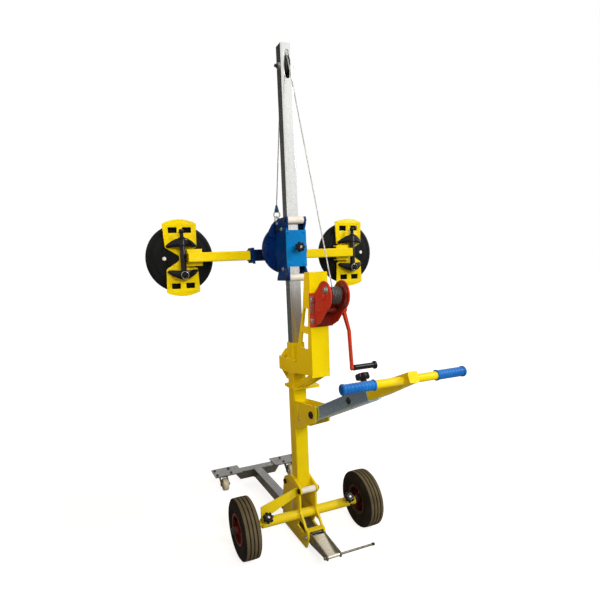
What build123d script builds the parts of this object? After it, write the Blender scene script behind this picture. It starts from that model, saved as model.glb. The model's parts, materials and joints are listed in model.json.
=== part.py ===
from build123d import *
from math import acos, atan2, cos, hypot, pi, sin, sqrt
import os

# Vacuum glass lifter on two wheels and two casters, in millimetres, +Z up.
# Pieces are drawn with the mast axis at x = y = 0, the floor at z = 0 and +Y towards the suction cups.
# The last step moves them along Y, so that the origin is under the middle of the whole machine.

os.makedirs("parts", exist_ok=True)

# Fits
running_gap = 0.06      # shaft in a bore, per side
bolt_gap = 0.1          # fixed bolt in its hole, per side
slide_gap = 0.4         # sliding tubes and pads, per side
face_gap = 0.5          # turning faces beside each other

# Axle tube, stub axles and wheels
wheel_radius = 130
tyre_width = 80
axle_y = -45
axle_z = wheel_radius
axle_tube_radius = 21
axle_tube_half = 215
axle_top = axle_z + axle_tube_radius
wheel_offset = 77
wheel_x = axle_tube_half + wheel_offset
bead_radius = 63
bead_half = 30
rim_lip = 6
rim_wall = 6
lip_width = 3.5
dish_face = [(16, 2), (14, -11), (3, -27)]      # x, and radius from the seat of the rim
dish_back = [(-4, -24), (8, -6), (10, 2)]
groove_depth = 4
groove_width = 5
groove_spacing = 16
tread_half = 31
hub_radius = 19
hub_half = 45
hub_taper = 15
spindle_radius = 10
stub_radius = 15.2
stub_inside = 90
collar_width = 9
axle_washer = 3
axle_nut_radius = 13
axle_nut_thick = 9

# Hand knobs
axle_knob_inset = 17
axle_knob_x = axle_tube_half - axle_knob_inset
axle_knob_tilt = 45
axle_knob_seat = 50
knob_boss_top = 34
knob_boss_radius = 11
knob_radius = 24
knob_height = 22
knob_neck = 8
knob_stud_radius = 5

# Column and chassis
column_width = 60
column_half = column_width / 2
column_wall = 4
column_bottom = 230
column_top = 700
doubler_height = 58
doubler_inset = 4
flange_x = (-42, 82)
flange_y = (-62, 50)
flange_thick = 10
flange_corner = 10
foot_top = column_top + flange_thick
chassis_gap = 4
chassis_inner = column_half + chassis_gap
chassis_thick = 9
chassis_outer = chassis_inner + chassis_thick
chassis_outline = [(132, 8), (133, 128), (118, 172), (102, 240), (88, 258), (25, 290), (2, 290), (-62, 272),
                   (-88, 262), (-90, 244), (-70, 228), (-70, 150), (-98, 118), (-110, 98), (-142, 94),
                   (-147, 66), (-120, 8)]
chassis_slot = [(0, 150), (28, 150), (28, 205), (0, 205)]
tail_window = [(-62, 98), (-88, 98), (-114, 78), (-92, 42)]
front_spacer = (82, 235)
rear_spacer = (-72, 250)
spacer_radius = 12.5
spacer_bolt_radius = 6
tail_bar_y = (-138, -114)
tail_bar_thick = 6.5
brace_thick = 6
brace_root = (218, 256)
brace_end_rise = 53

# Base beam, cross tube and casters
caster_radius = 34
caster_headroom = 19
beam_top = 2 * caster_radius + caster_headroom
beam_width = 50
beam_half = beam_width / 2
beam_wall = 3
tube_corner = 5
beam_rear = -150
cross_y = 630
cross_half_top = 142
cross_slant = 37
cross_half_low = cross_half_top - cross_slant
plate_lap = 42
end_plate_length = 155
end_plate_start = cross_half_top - plate_lap
end_plate_depth = 108
end_plate_thick = 6
plate_corner = 6
caster_out = 58
caster_x = cross_half_top + caster_out
caster_trail = 34
caster_width = 30
caster_dish = 3
caster_plate = (104, 84)
caster_plate_thick = 3
caster_bolts_xy = (40, 30)
caster_bolt_radius = 4
caster_bolt_head = (7, 5.5)
race_radius = 20
race_height = 9
crown_radius = 26
crown_height = 5
king_pin_radius = 6
king_pin_head = (3, 4)
fork_inner = 19
fork_thick = 3
fork_top_half = 13
fork_eye = 11
fork_throat = 26
caster_pin_radius = 5
caster_pin_head = (3, 4)

# Foot pedal, its outlines measured from the pivot
pedal_pivot_y = -128
pedal_pivot = (pedal_pivot_y, beam_top - beam_half)
pedal_bolt_radius = 6
pedal_inner = beam_half + 2
pedal_thick = 6.5
pedal_outline = [(16, 22), (16, -22), (-24, -24), (-170, -13), (-175, -2), (-170, 9), (-24, 24)]
tread_outline = [(-32, 8), (-32, 13), (-150, 1), (-150, -4)]
pedal_bar_offset = (-164, -2)
pedal_bar_radius = 5
pedal_bar_x = (-44, 190)
pedal_tip_radius = 7
pedal_tip_length = 30
pedal_tip_cap = 4

# Drawbar, its bracket measured from the pivot
drawbar_pivot = (-201, 630)
drawbar_angle = 24.4
bracket_inner = 27
bracket_thick = 6
bracket_root = (17, -100)
bracket_heel = 26
bracket_web = 10
bracket_tip = [(-35, 42), (-39, 10), (-29, -27)]
drawbar_bolt_radius = 8
stop_radius = 135
stop_pin_radius = 5
stop_pin_end = 2
stop_travel = 30
bar_width = 50
bar_half = bar_width / 2
bar_wall = 3.5
bar_inner_end = 150
bar_outer_end = 430
bar_hole_at = 305
bar_hole_radius = 10
bar_knob_at = 392
bar_knob_seat = 27
bar_boss_height = 9
handle_width = 42
handle_wall = 3
handle_inner_end = 230
handle_taper = (500, 640)
handle_tip_width = 33
handle_end = 652
cross_handle_at = 614
cross_handle_radius = 12.5
cross_handle_half = 210
grip_radius = 16
grip_rib = 1.2
grip_ribs = 6
grip_start = 100
grip_cap = 5
grip_bevel = 4

# Winch stand
socket_top = 897
stand_inner = column_half
stand_thick = 8
stand_outer = stand_inner + stand_thick
band_z = (767, 826)
band_front = 104
front_point = 716
front_peak = 856
front_peak_half = 4
post_rear = -235
post_plate = 6
post_bottom = 796
post_top = 1195
post_front = -192
post_floor = 8
post_cap_inset = 2
stand_back = post_rear + post_plate
stand_low = post_bottom - post_floor
stand_outline = [(stand_back, post_bottom), (stand_back, post_top), (post_front, post_top), (-166, 1056),
                 (-131, 963), (-106, 903), (-92, 878), (-88, band_z[1]), (band_front, band_z[1]),
                 (band_front, band_z[0]), (-44, band_z[0]), (-80, 779)]
stand_windows = [[(-180, 1057), (-214, 1057), (-207, 985), (-158, 985)],
                 [(-149, 958), (-207, 958), (-201, 895), (-134, 895)]]
window_corner = 4
gusset_half = 4
gusset_front = band_front - stand_thick
front_gusset = [(column_half, 715), (gusset_front, band_z[0]), (gusset_front, band_z[1]), (column_half, 872)]
strut_x = (18, 26)
strut_foot_y = (-36, -60)
strut_head_y = (-178, -226)
strut_heel = 9
strut_bend = (-104, 19)

# Mast and pulley
mast_width = 50
mast_wall = 3
mast_top = 2079
pulley_drop = 77
pulley_z = mast_top - pulley_drop
mast_slot_reach = (52, 54)
mast_slot_width = 20
pulley_pitch = 37
pulley_radius = 40.5
pulley_half = 7
pulley_hub_half = 12
pulley_hub_radius = 13
pulley_bolt_radius = 6

# Winch, measured from the rear face and the top of the post
drum_reach = 85
drum_drop = 87
drum_y = post_rear - drum_reach
drum_z = post_top - drum_drop
drum_core = 27
drum_x = (-14, 39)
drum_flange_radius = 46
drum_flange = 3
drum_shaft_radius = 10
drum_nut_radius = 15
drum_nut_thick = 9.5
winch_base_x = (-42, 54)
winch_base_drop = (121, -9)
winch_base_thick = 6
winch_seat = post_rear - winch_base_thick
winch_bolts_drop = (96, 16)
winch_bolt_x = -33
winch_bolt_radius = 4
winch_bolt_head = (8, 6)
winch_bolt_depth = 12
cheek_left = (-24, -19)
cheek_right = (49, 54)
cheek_radius = 54
cheek_foot = (-118, 5)
cheek_corners = [(35, -100), (-42, -28), (0, 0), (28, 45)]
gear_x = (drum_x[1] + drum_flange, 47)
gear_teeth = 42
gear_tip = 50.2
pinion_teeth = 12
pinion_tip = 14.4
tooth_depth = 2.6
tip_gap = 0.4
gear_centres = gear_tip + pinion_tip + tip_gap
crank_forward = 34
crank_y = drum_y + crank_forward
crank_z = drum_z - sqrt(gear_centres ** 2 - crank_forward ** 2)
crank_shaft_radius = 8
crank_disc_radius = 24
crank_disc_x = (57, 63)
crank_hub_x = (63, 84)
crank_hub_radius = 14
crank_boss = 4
crank_top_x = 71
crank_bend = (98, 86)
crank_end = (107, 232)
crank_bar = 8
crank_depth = 16
crank_eye = 2
crank_pin_radius = 5
crank_pin_head = 4
crank_grip_x = (115, 214)
crank_grip_z = crank_z - crank_end[1]
crank_grip_radius = 11
crank_grip_flare = 16
crank_grip_head = 7
crank_grip_cone = 5
crank_grip_heel = 6

# Rope and hook
rope_radius = 2.5
rope_on_core = 0.3
winding_turns = 6
winding_pitch = 6
hook_y = 147
hook_eye_z = 1414
hook_reach = 66
rope_end_z = hook_eye_z + hook_reach
hook_leg_gap = 2
hook_leg = 5
hook_half = 6
hook_below = 7
hook_bow = 22
hook_ring = (14, 3.5)
ferrule_radius = 5.5

# Carriage
carriage_inner = 37
carriage_thick = 6
carriage_outer = carriage_inner + carriage_thick
carriage_rear = -47
carriage_front = 60
carriage_outline = [(-57, 1162), (-57, 1196), (carriage_rear, 1212), (carriage_rear, 1374), (-57, 1390),
                    (-57, 1419), (44, 1419), (carriage_front, 1405), (carriage_front, 1216), (52, 1200),
                    (69, 1172), (69, 1162)]
cover_z = (1219, 1366)
cover_thick = 4
front_plate_thick = 8
front_plate_y = (carriage_front, carriage_front + front_plate_thick)
front_plate_z = (1200, 1412)
roller_radius = 15
roller_bevel = 1.5
roller_pin_radius = 6
rear_rollers_z = (1406, 1174)
front_rollers_z = (1374, 1210)
roller_gap = 0.3
carriage_knob_at = (-2, 1296)
carriage_knob_seat = -78
carriage_knob_radius = 21
carriage_knob_height = 20
carriage_boss = 6
lug_half = 5
lug_root = carriage_front + 2
lug_outline = [(lug_root, 1403), (140, 1403), (155, 1407), (155, 1420), (150, 1424), (lug_root, 1424)]
lug_hole_radius = 4.6

# Turning head, arms and cups
head_z = 1296
spindle_head_radius = 12
spindle_length = 40
spindle_end_gap = 2
head_boss_radius = 40
disc_radius = 104
disc_thick = 12
index_holes = 12
index_circle = 84
index_radius = 5.5
index_depth = 9
arm_y = 192
arm_z = 1277
arm_width = 40
arm_wall = 3
arm_x = (55, 400)
sleeve_width = 50
sleeve_half = 126
sleeve_lip = 66
sleeve_lip_inset = (16, 8)
sleeve_lip_x = [sleeve_half - inset for inset in sleeve_lip_inset]
sleeve_screw_inset = 24
sleeve_screw_radius = 6
sleeve_screw_length = 12
head_rib_x = (50, 58)
head_rib_rise = 70
head_rib_drop = 78
arm_bracket_x = (332, 398)
arm_bracket_half = 36
arm_bracket_thick = 6
cup_x = 417
cup_radius = 147.5
cup_front = 286
cup_plate_y = (240, 245)
cup_plate_radius = 164
cup_plate_right_edge = [(16, 9), (68, 46), (74, 170)]
plate_lip_thick = 4
plate_lip_depth = 20
cup_windows_x = (12, 50)
cup_windows_z = (90, 114)
cup_window_corner = 3
cup_back = [(62, 0), (66, 7), (108, 12), (118, 19), (138, 22)]
cup_edge = 11
cup_lip = 7.5
cup_recess = 3.5
cup_core = 18
pump_y = 205
pump_radius = 12
pump_z = (-76, 87)
pump_heel = 4
foot_half = 64
foot_thick = 11
foot_height = 26
foot_z = (pump_z[1] - foot_height, -88)
plunger_radius = 6
plunger_travel = 15
plunger_cap_radius = 12
plunger_cap_height = 18
plunger_depth = 45
plunger_end_gap = 5
valve_offset = 73
valve_radius = 8
valve_travel = 3
valve_end_gap = 1
valve_proud = 2


def block(x, y, z):
    spans = (x, y, z)
    middle = [(low + high) / 2 for low, high in spans]
    return Pos(*middle) * Box(*[high - low for low, high in spans])


def rod_x(x, y, z, radius):
    return Pos((x[0] + x[1]) / 2, y, z) * Rot(0, 90, 0) * Cylinder(radius, x[1] - x[0])


def rod_y(x, y, z, radius):
    return Pos(x, (y[0] + y[1]) / 2, z) * Rot(90, 0, 0) * Cylinder(radius, y[1] - y[0])


def rod_z(x, y, z, radius):
    return Pos(x, y, (z[0] + z[1]) / 2) * Cylinder(radius, z[1] - z[0])


# A flat face through corners, always facing up, whichever way round they are listed
def outline(corners):
    area = sum(a[0] * b[1] - b[0] * a[1] for a, b in zip(corners, corners[1:] + corners[:1]))
    return Polygon(*corners if area > 0 else corners[::-1], align=None)


def mirrored(corners):
    return corners + [(-x, y) for x, y in reversed(corners)]


# A flat plate standing square to one axis, from an outline in the other two
def slab_x(sketch, x):
    return extrude(Plane.YZ.offset(x[0]) * sketch, x[1] - x[0], dir=(1, 0, 0))


def slab_y(sketch, y):
    return Pos(0, y[0], 0) * extrude(Plane.XZ * sketch, y[1] - y[0], dir=(0, 1, 0))


def slab_z(sketch, z):
    return extrude(Plane.XY.offset(z[0]) * sketch, z[1] - z[0], dir=(0, 0, 1))


def square_ring(width, wall):
    inner = width - 2 * wall
    inner_corner = tube_corner - wall / 2
    return RectangleRounded(width, width, tube_corner) - RectangleRounded(inner, inner, inner_corner)


def hexagon(radius):
    return RegularPolygon(radius, 6)


def left_of(piece):
    return mirror(piece, about=Plane.YZ)


def on_both_sides(piece):
    return piece + left_of(piece)


# A shank across X with a hexagon head at each end
def cross_bolt(half, y, z, radius):
    head_radius = 1.7 * radius
    head = slab_x(Pos(y, z) * hexagon(head_radius), (half, half + radius))
    return rod_x((-half, half), y, z, radius) + on_both_sides(head)


# A lobed hand knob on its stud: the knob stands on z = 0 and the stud hangs below it
def star_knob(radius, height, stud_length):
    lobes = 7
    shape = Circle(0.74 * radius)
    for turn in range(lobes):
        shape += Rot(0, 0, 360 * turn / lobes) * (Pos(0.74 * radius, 0) * Circle(0.26 * radius))
    body = extrude(shape, height)
    top_edges = body.edges().group_by(Axis.Z)[-1]
    body = chamfer(top_edges, 0.08 * radius)
    neck = rod_z(0, 0, (-knob_neck, 0), 0.42 * radius)
    stud = rod_z(0, 0, (-stud_length, 0), knob_stud_radius)
    return body + neck + stud


# Wheels, stub axles, axle tube
def tyre():
    groove_half = groove_width / 2
    groove_floor = wheel_radius - groove_depth
    tread = [(-tread_half, wheel_radius)]
    for centre in (-groove_spacing, 0, groove_spacing):
        low, high = centre - groove_half, centre + groove_half
        tread += [(low, wheel_radius), (low, groove_floor), (high, groove_floor), (high, wheel_radius)]
    tread.append((tread_half, wheel_radius))
    bead = bead_radius + bolt_gap
    shoulder = bead + rim_lip + 1
    side_middle = (wheel_radius + shoulder) / 2
    half = tyre_width / 2
    right_side = ThreePointArc((tread_half, wheel_radius), (half, side_middle), (bead_half, shoulder))
    left_side = ThreePointArc((-bead_half, shoulder), (-half, side_middle), (-tread_half, wheel_radius))
    foot = Polyline((bead_half, shoulder), (bead_half, bead), (-bead_half, bead), (-bead_half, shoulder))
    profile = make_face([*Polyline(*tread).edges(), right_side, *foot.edges(), left_side])
    return Pos(wheel_x, axle_y, axle_z) * revolve(Plane.XZ * profile, Axis.X)


def wheel_rim():
    lip_in = bead_half + face_gap
    lip_out = lip_in + lip_width
    seat = bead_radius - rim_wall
    lip_top = bead_radius + rim_lip
    edge = [(lip_out, seat), (lip_out, lip_top), (lip_in, lip_top), (lip_in, bead_radius)]
    barrel = outline(mirrored(edge))
    face = [(x, seat + rise) for x, rise in dish_face]
    back = [(x, seat + rise) for x, rise in dish_back]
    inside_hub = hub_radius - 2
    dish = outline(face + [(face[-1][0], inside_hub), (back[0][0], inside_hub)] + back)
    bore = spindle_radius + running_gap
    hub = outline([(-hub_half, bore), (hub_half, bore), (hub_half, hub_radius - 3),
                   (hub_half - hub_taper, hub_radius), (-hub_half, hub_radius)])
    return Pos(wheel_x, axle_y, axle_z) * revolve(Plane.XZ * (barrel + dish + hub), Axis.X)


def stub_axle():
    collar_end = wheel_x - hub_half - face_gap
    washer_start = wheel_x + hub_half + face_gap
    shaft = rod_x((axle_tube_half - stub_inside, collar_end), axle_y, axle_z, stub_radius)
    collar = rod_x((collar_end - collar_width, collar_end), axle_y, axle_z, hub_radius)
    spindle = rod_x((collar_end, washer_start), axle_y, axle_z, spindle_radius)
    nut_start = washer_start + axle_washer
    washer = rod_x((washer_start, nut_start), axle_y, axle_z, hub_radius - 2)
    nut = slab_x(Pos(axle_y, axle_z) * hexagon(axle_nut_radius), (nut_start, nut_start + axle_nut_thick))
    return shaft + collar + spindle + washer + nut


axle_knob_place = Pos(axle_knob_x, axle_y, axle_z) * Rot(axle_knob_tilt, 0, 0)


def axle_tube():
    bore = stub_radius + slide_gap
    tube = rod_x((-axle_tube_half, axle_tube_half), axle_y, axle_z, axle_tube_radius)
    boss = axle_knob_place * rod_z(0, 0, (axle_tube_radius - 4, knob_boss_top), knob_boss_radius)
    stud_hole = axle_knob_place * rod_z(0, 0, (0, knob_boss_top + 1), knob_stud_radius + running_gap)
    whole = tube + on_both_sides(boss)
    whole -= rod_x((-axle_tube_half, axle_tube_half), axle_y, axle_z, bore)
    return whole - on_both_sides(stud_hole)


def axle_knob():
    stud = axle_knob_seat - stub_radius - slide_gap
    return axle_knob_place * Pos(0, 0, axle_knob_seat) * star_knob(knob_radius, knob_height, stud)


# One brace, on the left only
def axle_brace():
    low, high = brace_root
    end_top = axle_top + brace_end_rise
    shape = outline([(chassis_outer, high), (chassis_outer, low), (axle_knob_x, axle_top),
                     (axle_tube_half, axle_top), (axle_tube_half, end_top)])
    return left_of(slab_y(shape, (axle_y - brace_thick / 2, axle_y + brace_thick / 2)))


# Chassis, column and base
def chassis_frame():
    plate = fillet(outline(chassis_outline).vertices(), 4)
    plate -= fillet(outline(chassis_slot).vertices(), 3)
    plate -= fillet(outline(tail_window).vertices(), 3)
    plate -= Pos(axle_y, axle_z) * Circle(axle_tube_radius + bolt_gap)
    for spacer in (front_spacer, rear_spacer):
        plate -= Pos(*spacer) * Circle(spacer_bolt_radius + bolt_gap)
    plate -= Pos(*pedal_pivot) * Circle(pedal_bolt_radius + bolt_gap)
    side = slab_x(plate, (chassis_inner, chassis_outer))
    bar_low = beam_top + face_gap
    tail_bar = block((-chassis_inner, chassis_inner), tail_bar_y, (bar_low, bar_low + tail_bar_thick))
    return on_both_sides(side) + tail_bar


def chassis_spacers():
    pieces = []
    for y, z in (front_spacer, rear_spacer):
        bolt = cross_bolt(chassis_outer, y, z, spacer_bolt_radius)
        pieces.append(bolt + rod_x((-chassis_inner, chassis_inner), y, z, spacer_radius))
    return Part() + pieces


def column():
    tube = slab_z(square_ring(column_width, column_wall), (column_bottom, column_top))
    doubler_half = column_half - doubler_inset
    doubler = block((column_half - 1, chassis_inner), (-doubler_half, doubler_half),
                    (column_bottom, column_bottom + doubler_height))
    width = flange_x[1] - flange_x[0]
    depth = flange_y[1] - flange_y[0]
    middle = Pos(sum(flange_x) / 2, sum(flange_y) / 2)
    flange = slab_z(middle * RectangleRounded(width, depth, flange_corner), (column_top, foot_top))
    return tube + on_both_sides(doubler) + flange


def base_beam():
    ring = Pos(0, beam_top - beam_half) * square_ring(beam_width, beam_wall)
    beam = slab_y(ring, (beam_rear, cross_y - beam_half))
    return beam - rod_x((-beam_half, beam_half), *pedal_pivot, pedal_bolt_radius + bolt_gap)


def cross_tube():
    ring = Pos(cross_y, beam_top - beam_half) * square_ring(beam_width, beam_wall)
    tube = slab_x(ring, (-cross_half_top, cross_half_top))
    low = beam_top - beam_width
    slanted = outline([(-cross_half_low, low), (cross_half_low, low), (cross_half_top, beam_top),
                       (-cross_half_top, beam_top)])
    return tube & slab_y(slanted, (cross_y - beam_half, cross_y + beam_half))


def caster_bolt_spots():
    dx, dy = caster_bolts_xy
    return [(caster_x + sx * dx, cross_y + sy * dy) for sx in (-1, 1) for sy in (-1, 1)]


def end_plates():
    middle = end_plate_start + end_plate_length / 2
    plate = Pos(middle, cross_y) * RectangleRounded(end_plate_length, end_plate_depth, plate_corner)
    for x, y in caster_bolt_spots():
        plate -= Pos(x, y) * Circle(caster_bolt_radius + bolt_gap)
    solid = slab_z(plate, (beam_top, beam_top + end_plate_thick))
    return on_both_sides(solid)


winch_bolts_z = [drum_z - drop for drop in winch_bolts_drop]


def mount_bolts():
    low = beam_top - caster_plate_thick
    top = beam_top + end_plate_thick
    bolts = []
    head_radius, head_height = caster_bolt_head
    for x, y in caster_bolt_spots():
        head = slab_z(Pos(x, y) * hexagon(head_radius), (top, top + head_height))
        bolt = rod_z(x, y, (low, top), caster_bolt_radius) + head
        bolts += [bolt, left_of(bolt)]
    head_radius, head_height = winch_bolt_head
    shank = (winch_seat, post_rear + winch_bolt_depth)
    for z in winch_bolts_z:
        head = slab_y(Pos(winch_bolt_x, z) * hexagon(head_radius), (winch_seat - head_height, winch_seat))
        bolts.append(head + rod_y(winch_bolt_x, shank, z, winch_bolt_radius))
    return Part() + bolts


# Casters
caster_race_low = beam_top - caster_plate_thick - race_height
crown_top = caster_race_low - face_gap / 2
crown_low = crown_top - crown_height


def caster_head():
    plate = Pos(caster_x, cross_y) * RectangleRounded(*caster_plate, 5)
    for x, y in caster_bolt_spots():
        plate -= Pos(x, y) * Circle(caster_bolt_radius + bolt_gap)
    top = slab_z(plate, (beam_top - caster_plate_thick, beam_top))
    race = rod_z(caster_x, cross_y, (caster_race_low, beam_top - caster_plate_thick), race_radius)
    flare, height = king_pin_head
    pin_low = crown_low - height
    pin = rod_z(caster_x, cross_y, (pin_low, caster_race_low), king_pin_radius)
    rivet = rod_z(caster_x, cross_y, (pin_low, crown_low - face_gap / 2), king_pin_radius + flare)
    return top + race + pin + rivet


def caster_heads():
    right = caster_head()
    return on_both_sides(right)


def caster_fork():
    wheel_y = cross_y - caster_trail
    crown = rod_z(caster_x, cross_y, (crown_low, crown_top), crown_radius)
    front, rear = cross_y + fork_top_half, cross_y - fork_top_half
    low, high = caster_radius - fork_eye + 2, caster_radius + fork_eye / 2
    leg = outline([(front, crown_top), (rear, crown_top), (wheel_y - fork_eye, high),
                   (wheel_y - fork_eye, caster_radius - fork_eye / 2), (wheel_y + fork_eye - 2, low),
                   (front, caster_radius + fork_throat)])
    half = fork_inner + fork_thick
    legs = slab_x(leg, (fork_inner, half))
    flare, height = caster_pin_head
    pin = rod_x((-half, half), wheel_y, caster_radius, caster_pin_radius)
    head = rod_x((half, half + height), wheel_y, caster_radius, caster_pin_radius + flare)
    fork = crown - rod_z(caster_x, cross_y, (crown_low, crown_top), king_pin_radius + running_gap)
    return fork + Pos(caster_x, 0, 0) * (on_both_sides(legs) + pin + on_both_sides(head))


def caster_wheel():
    half = caster_width / 2
    bore = caster_pin_radius + running_gap
    hub_half_width = fork_inner - face_gap
    dish = half - caster_dish
    edge = [(hub_half_width, bore), (hub_half_width, bore + 7), (dish, bore + 9), (dish, caster_radius - 10),
            (half, caster_radius - 8), (half, caster_radius - 4), (half - 4, caster_radius)]
    wheel = revolve(Plane.XZ * outline(mirrored(edge)), Axis.X)
    return Pos(caster_x, cross_y - caster_trail, caster_radius) * wheel


# Foot pedal
pedal_place = Pos(*pedal_pivot)
pedal_bar_at = (pedal_pivot[0] + pedal_bar_offset[0], pedal_pivot[1] + pedal_bar_offset[1])


def pedal_lever():
    side = pedal_place * fillet(outline(pedal_outline).vertices(), 3)
    side -= pedal_place * Circle(pedal_bolt_radius + running_gap)
    side -= Pos(*pedal_bar_at) * Circle(pedal_bar_radius + bolt_gap)
    sides = on_both_sides(slab_x(side, (pedal_inner, pedal_inner + pedal_thick)))
    tread = slab_x(pedal_place * outline(tread_outline), (-pedal_inner, pedal_inner))
    return sides + tread


def pedal_bar():
    x_low, x_high = pedal_bar_x
    bar = rod_x((x_low, x_high), *pedal_bar_at, pedal_bar_radius)
    tip = rod_x((x_high - pedal_tip_length, x_high + pedal_tip_cap), *pedal_bar_at, pedal_tip_radius)
    stop = rod_x((x_low, x_low + pedal_tip_cap), *pedal_bar_at, pedal_tip_radius)
    return bar + tip + stop


# Drawbar, drawn along -Y from its pivot and then tilted
drawbar_place = Pos(0, *drawbar_pivot) * Rot(-drawbar_angle, 0, 0)


def drawbar_bracket():
    slot_arc = CenterArc(drawbar_pivot, stop_radius, -drawbar_angle - 0.5, stop_travel + 1)
    pivot_y, pivot_z = drawbar_pivot
    top, low = [pivot_z + rise for rise in bracket_root]
    tip = [(pivot_y + y, pivot_z + z) for y, z in bracket_tip]
    side = outline([(-column_half, top)] + tip + [(-column_half - bracket_heel, low), (-column_half, low)])
    side -= Pos(*drawbar_pivot) * Circle(drawbar_bolt_radius + bolt_gap)
    side -= SlotArc(slot_arc, 2 * (stop_pin_radius + face_gap))
    sides = on_both_sides(slab_x(side, (bracket_inner, bracket_inner + bracket_thick)))
    web_y = (-column_half - bracket_thick, -column_half)
    web = block((-bracket_inner, bracket_inner), web_y, (low, pivot_z + bracket_web))
    return sides + web


def drawbar_tube():
    boss_top = bar_half + bar_boss_height
    tube = slab_y(square_ring(bar_width, bar_wall), (-bar_outer_end, bar_inner_end))
    tube += rod_z(0, -bar_knob_at, (bar_half - 1, boss_top), knob_boss_radius)
    tube -= rod_z(0, -bar_knob_at, (0, boss_top), knob_stud_radius + running_gap)
    tube -= rod_x((-bar_half, bar_half), 0, 0, drawbar_bolt_radius + running_gap)
    tube -= rod_x((-bar_half, bar_half), -bar_hole_at, 0, bar_hole_radius)
    pin_half = bracket_inner + bracket_thick + stop_pin_end
    pin = rod_x((-pin_half, pin_half), stop_radius, 0, stop_pin_radius)
    return drawbar_place * (tube + pin)


def handle_tube():
    straight = slab_y(square_ring(handle_width, handle_wall), (-handle_taper[0], -handle_inner_end))
    wide = RectangleRounded(handle_width, handle_width, tube_corner)
    narrow = RectangleRounded(handle_tip_width, handle_tip_width, tube_corner)
    start, end = handle_taper
    taper = loft([Plane.XZ.offset(start) * wide, Plane.XZ.offset(end) * narrow])
    block_end = slab_y(narrow, (-handle_end, -end))
    cross = rod_x((-cross_handle_half, cross_handle_half), -cross_handle_at, 0, cross_handle_radius)
    return drawbar_place * (straight + taper + block_end + cross)


def handle_grips():
    bore = cross_handle_radius + running_gap
    length = cross_handle_half - grip_start
    rib_pitch = length / grip_ribs
    points = [(grip_start, bore), (grip_start, grip_radius)]
    for rib in range(grip_ribs):
        start = grip_start + rib * rib_pitch
        points += [(start + 0.15 * rib_pitch, grip_radius), (start + 0.3 * rib_pitch, grip_radius - grip_rib),
                   (start + 0.7 * rib_pitch, grip_radius - grip_rib), (start + 0.85 * rib_pitch, grip_radius)]
    cap = cross_handle_half + grip_cap
    points += [(cross_handle_half, grip_radius), (cap, grip_radius - grip_bevel), (cap, 0)]
    points += [(cross_handle_half, 0), (cross_handle_half, bore)]
    grip = Pos(0, -cross_handle_at, 0) * revolve(Plane.XZ * outline(points), Axis.X)
    grip = drawbar_place * grip
    return on_both_sides(grip)


def drawbar_knob():
    seat = bar_half + bar_knob_seat
    stud = seat - handle_width / 2 - slide_gap
    return drawbar_place * Pos(0, -bar_knob_at, seat) * star_knob(knob_radius, knob_height, stud)


# Winch stand and mast
def winch_stand():
    plate = outline(stand_outline)
    for window in stand_windows:
        plate -= fillet(outline(window).vertices(), window_corner)
    sides = on_both_sides(slab_x(plate, (stand_inner, stand_outer)))
    socket_wall = column_half - mast_width / 2 - slide_gap
    socket = slab_z(square_ring(column_width, socket_wall), (foot_top, socket_top))
    inside = (-stand_inner, stand_inner)
    rear = block((-stand_outer, stand_outer), (post_rear, stand_back), (stand_low, post_top))
    cap = block(inside, (stand_back, post_front - post_cap_inset), (post_top - post_floor, post_top))
    floor = block(inside, (stand_back, -column_half), (stand_low, post_bottom))
    front_edge = [(front_peak_half, front_point), (stand_inner, band_z[0]), (stand_inner, band_z[1]),
                  (front_peak_half, front_peak)]
    front = slab_y(outline(mirrored(front_edge)), (gusset_front, band_front))
    gusset = slab_x(outline(front_gusset), (-gusset_half, gusset_half))
    stand = sides + socket + rear + cap + floor + front + gusset + stand_struts()
    hole_end = post_rear + winch_bolt_depth + 2
    for z in winch_bolts_z:
        stand -= rod_y(winch_bolt_x, (post_rear, hole_end), z, winch_bolt_radius + bolt_gap)
    return stand


# Two slanting struts from the flange of the column to the floor of the post
def stand_struts():
    bend_y, bend_rise = strut_bend
    strut = outline([(strut_foot_y[0], foot_top), (strut_foot_y[0], foot_top + strut_heel),
                     (strut_head_y[0], stand_low), (strut_head_y[1], stand_low),
                     (bend_y, foot_top + bend_rise), (strut_foot_y[1], foot_top)])
    return on_both_sides(slab_x(strut, strut_x))


def mast():
    tube = slab_z(square_ring(mast_width, mast_wall), (foot_top, mast_top))
    below, above = mast_slot_reach
    middle = Pos(0, pulley_z + (above - below) / 2)
    slot = middle * Rot(0, 0, 90) * SlotOverall(below + above, mast_slot_width)
    tube -= slab_y(slot, (-mast_width, mast_width))
    return tube - rod_x((-mast_width, mast_width), 0, pulley_z, pulley_bolt_radius + bolt_gap)


def top_pulley():
    groove = pulley_pitch - rope_radius - rope_on_core
    rim = 2.3 * rope_radius
    bore = pulley_bolt_radius + running_gap
    profile = outline(mirrored([(pulley_hub_half, bore), (pulley_hub_half, pulley_hub_radius),
                                (pulley_half, pulley_hub_radius), (pulley_half, pulley_radius),
                                (rim, pulley_radius), (rope_radius + face_gap, groove)]))
    return Pos(0, 0, pulley_z) * revolve(Plane.XZ * profile, Axis.X)


# Bolts that the pedal, the drawbar and the pulley turn on
def pivot_bolts():
    pedal = cross_bolt(chassis_outer, *pedal_pivot, pedal_bolt_radius)
    drawbar = cross_bolt(bracket_inner + bracket_thick, *drawbar_pivot, drawbar_bolt_radius)
    pulley = cross_bolt(mast_width / 2, 0, pulley_z, pulley_bolt_radius)
    return pedal + drawbar + pulley


# Rope route in the plane x = 0: drum, pulley, hook
drum_pitch = drum_core + rope_on_core + rope_radius


# Direction, as an angle in the y-z plane, of the radius at which a straight run leaves both circles
def common_tangent_angle():
    dy = drum_y
    dz = drum_z - pulley_z
    return atan2(dz, dy) - acos((pulley_pitch - drum_pitch) / hypot(dy, dz))


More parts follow.
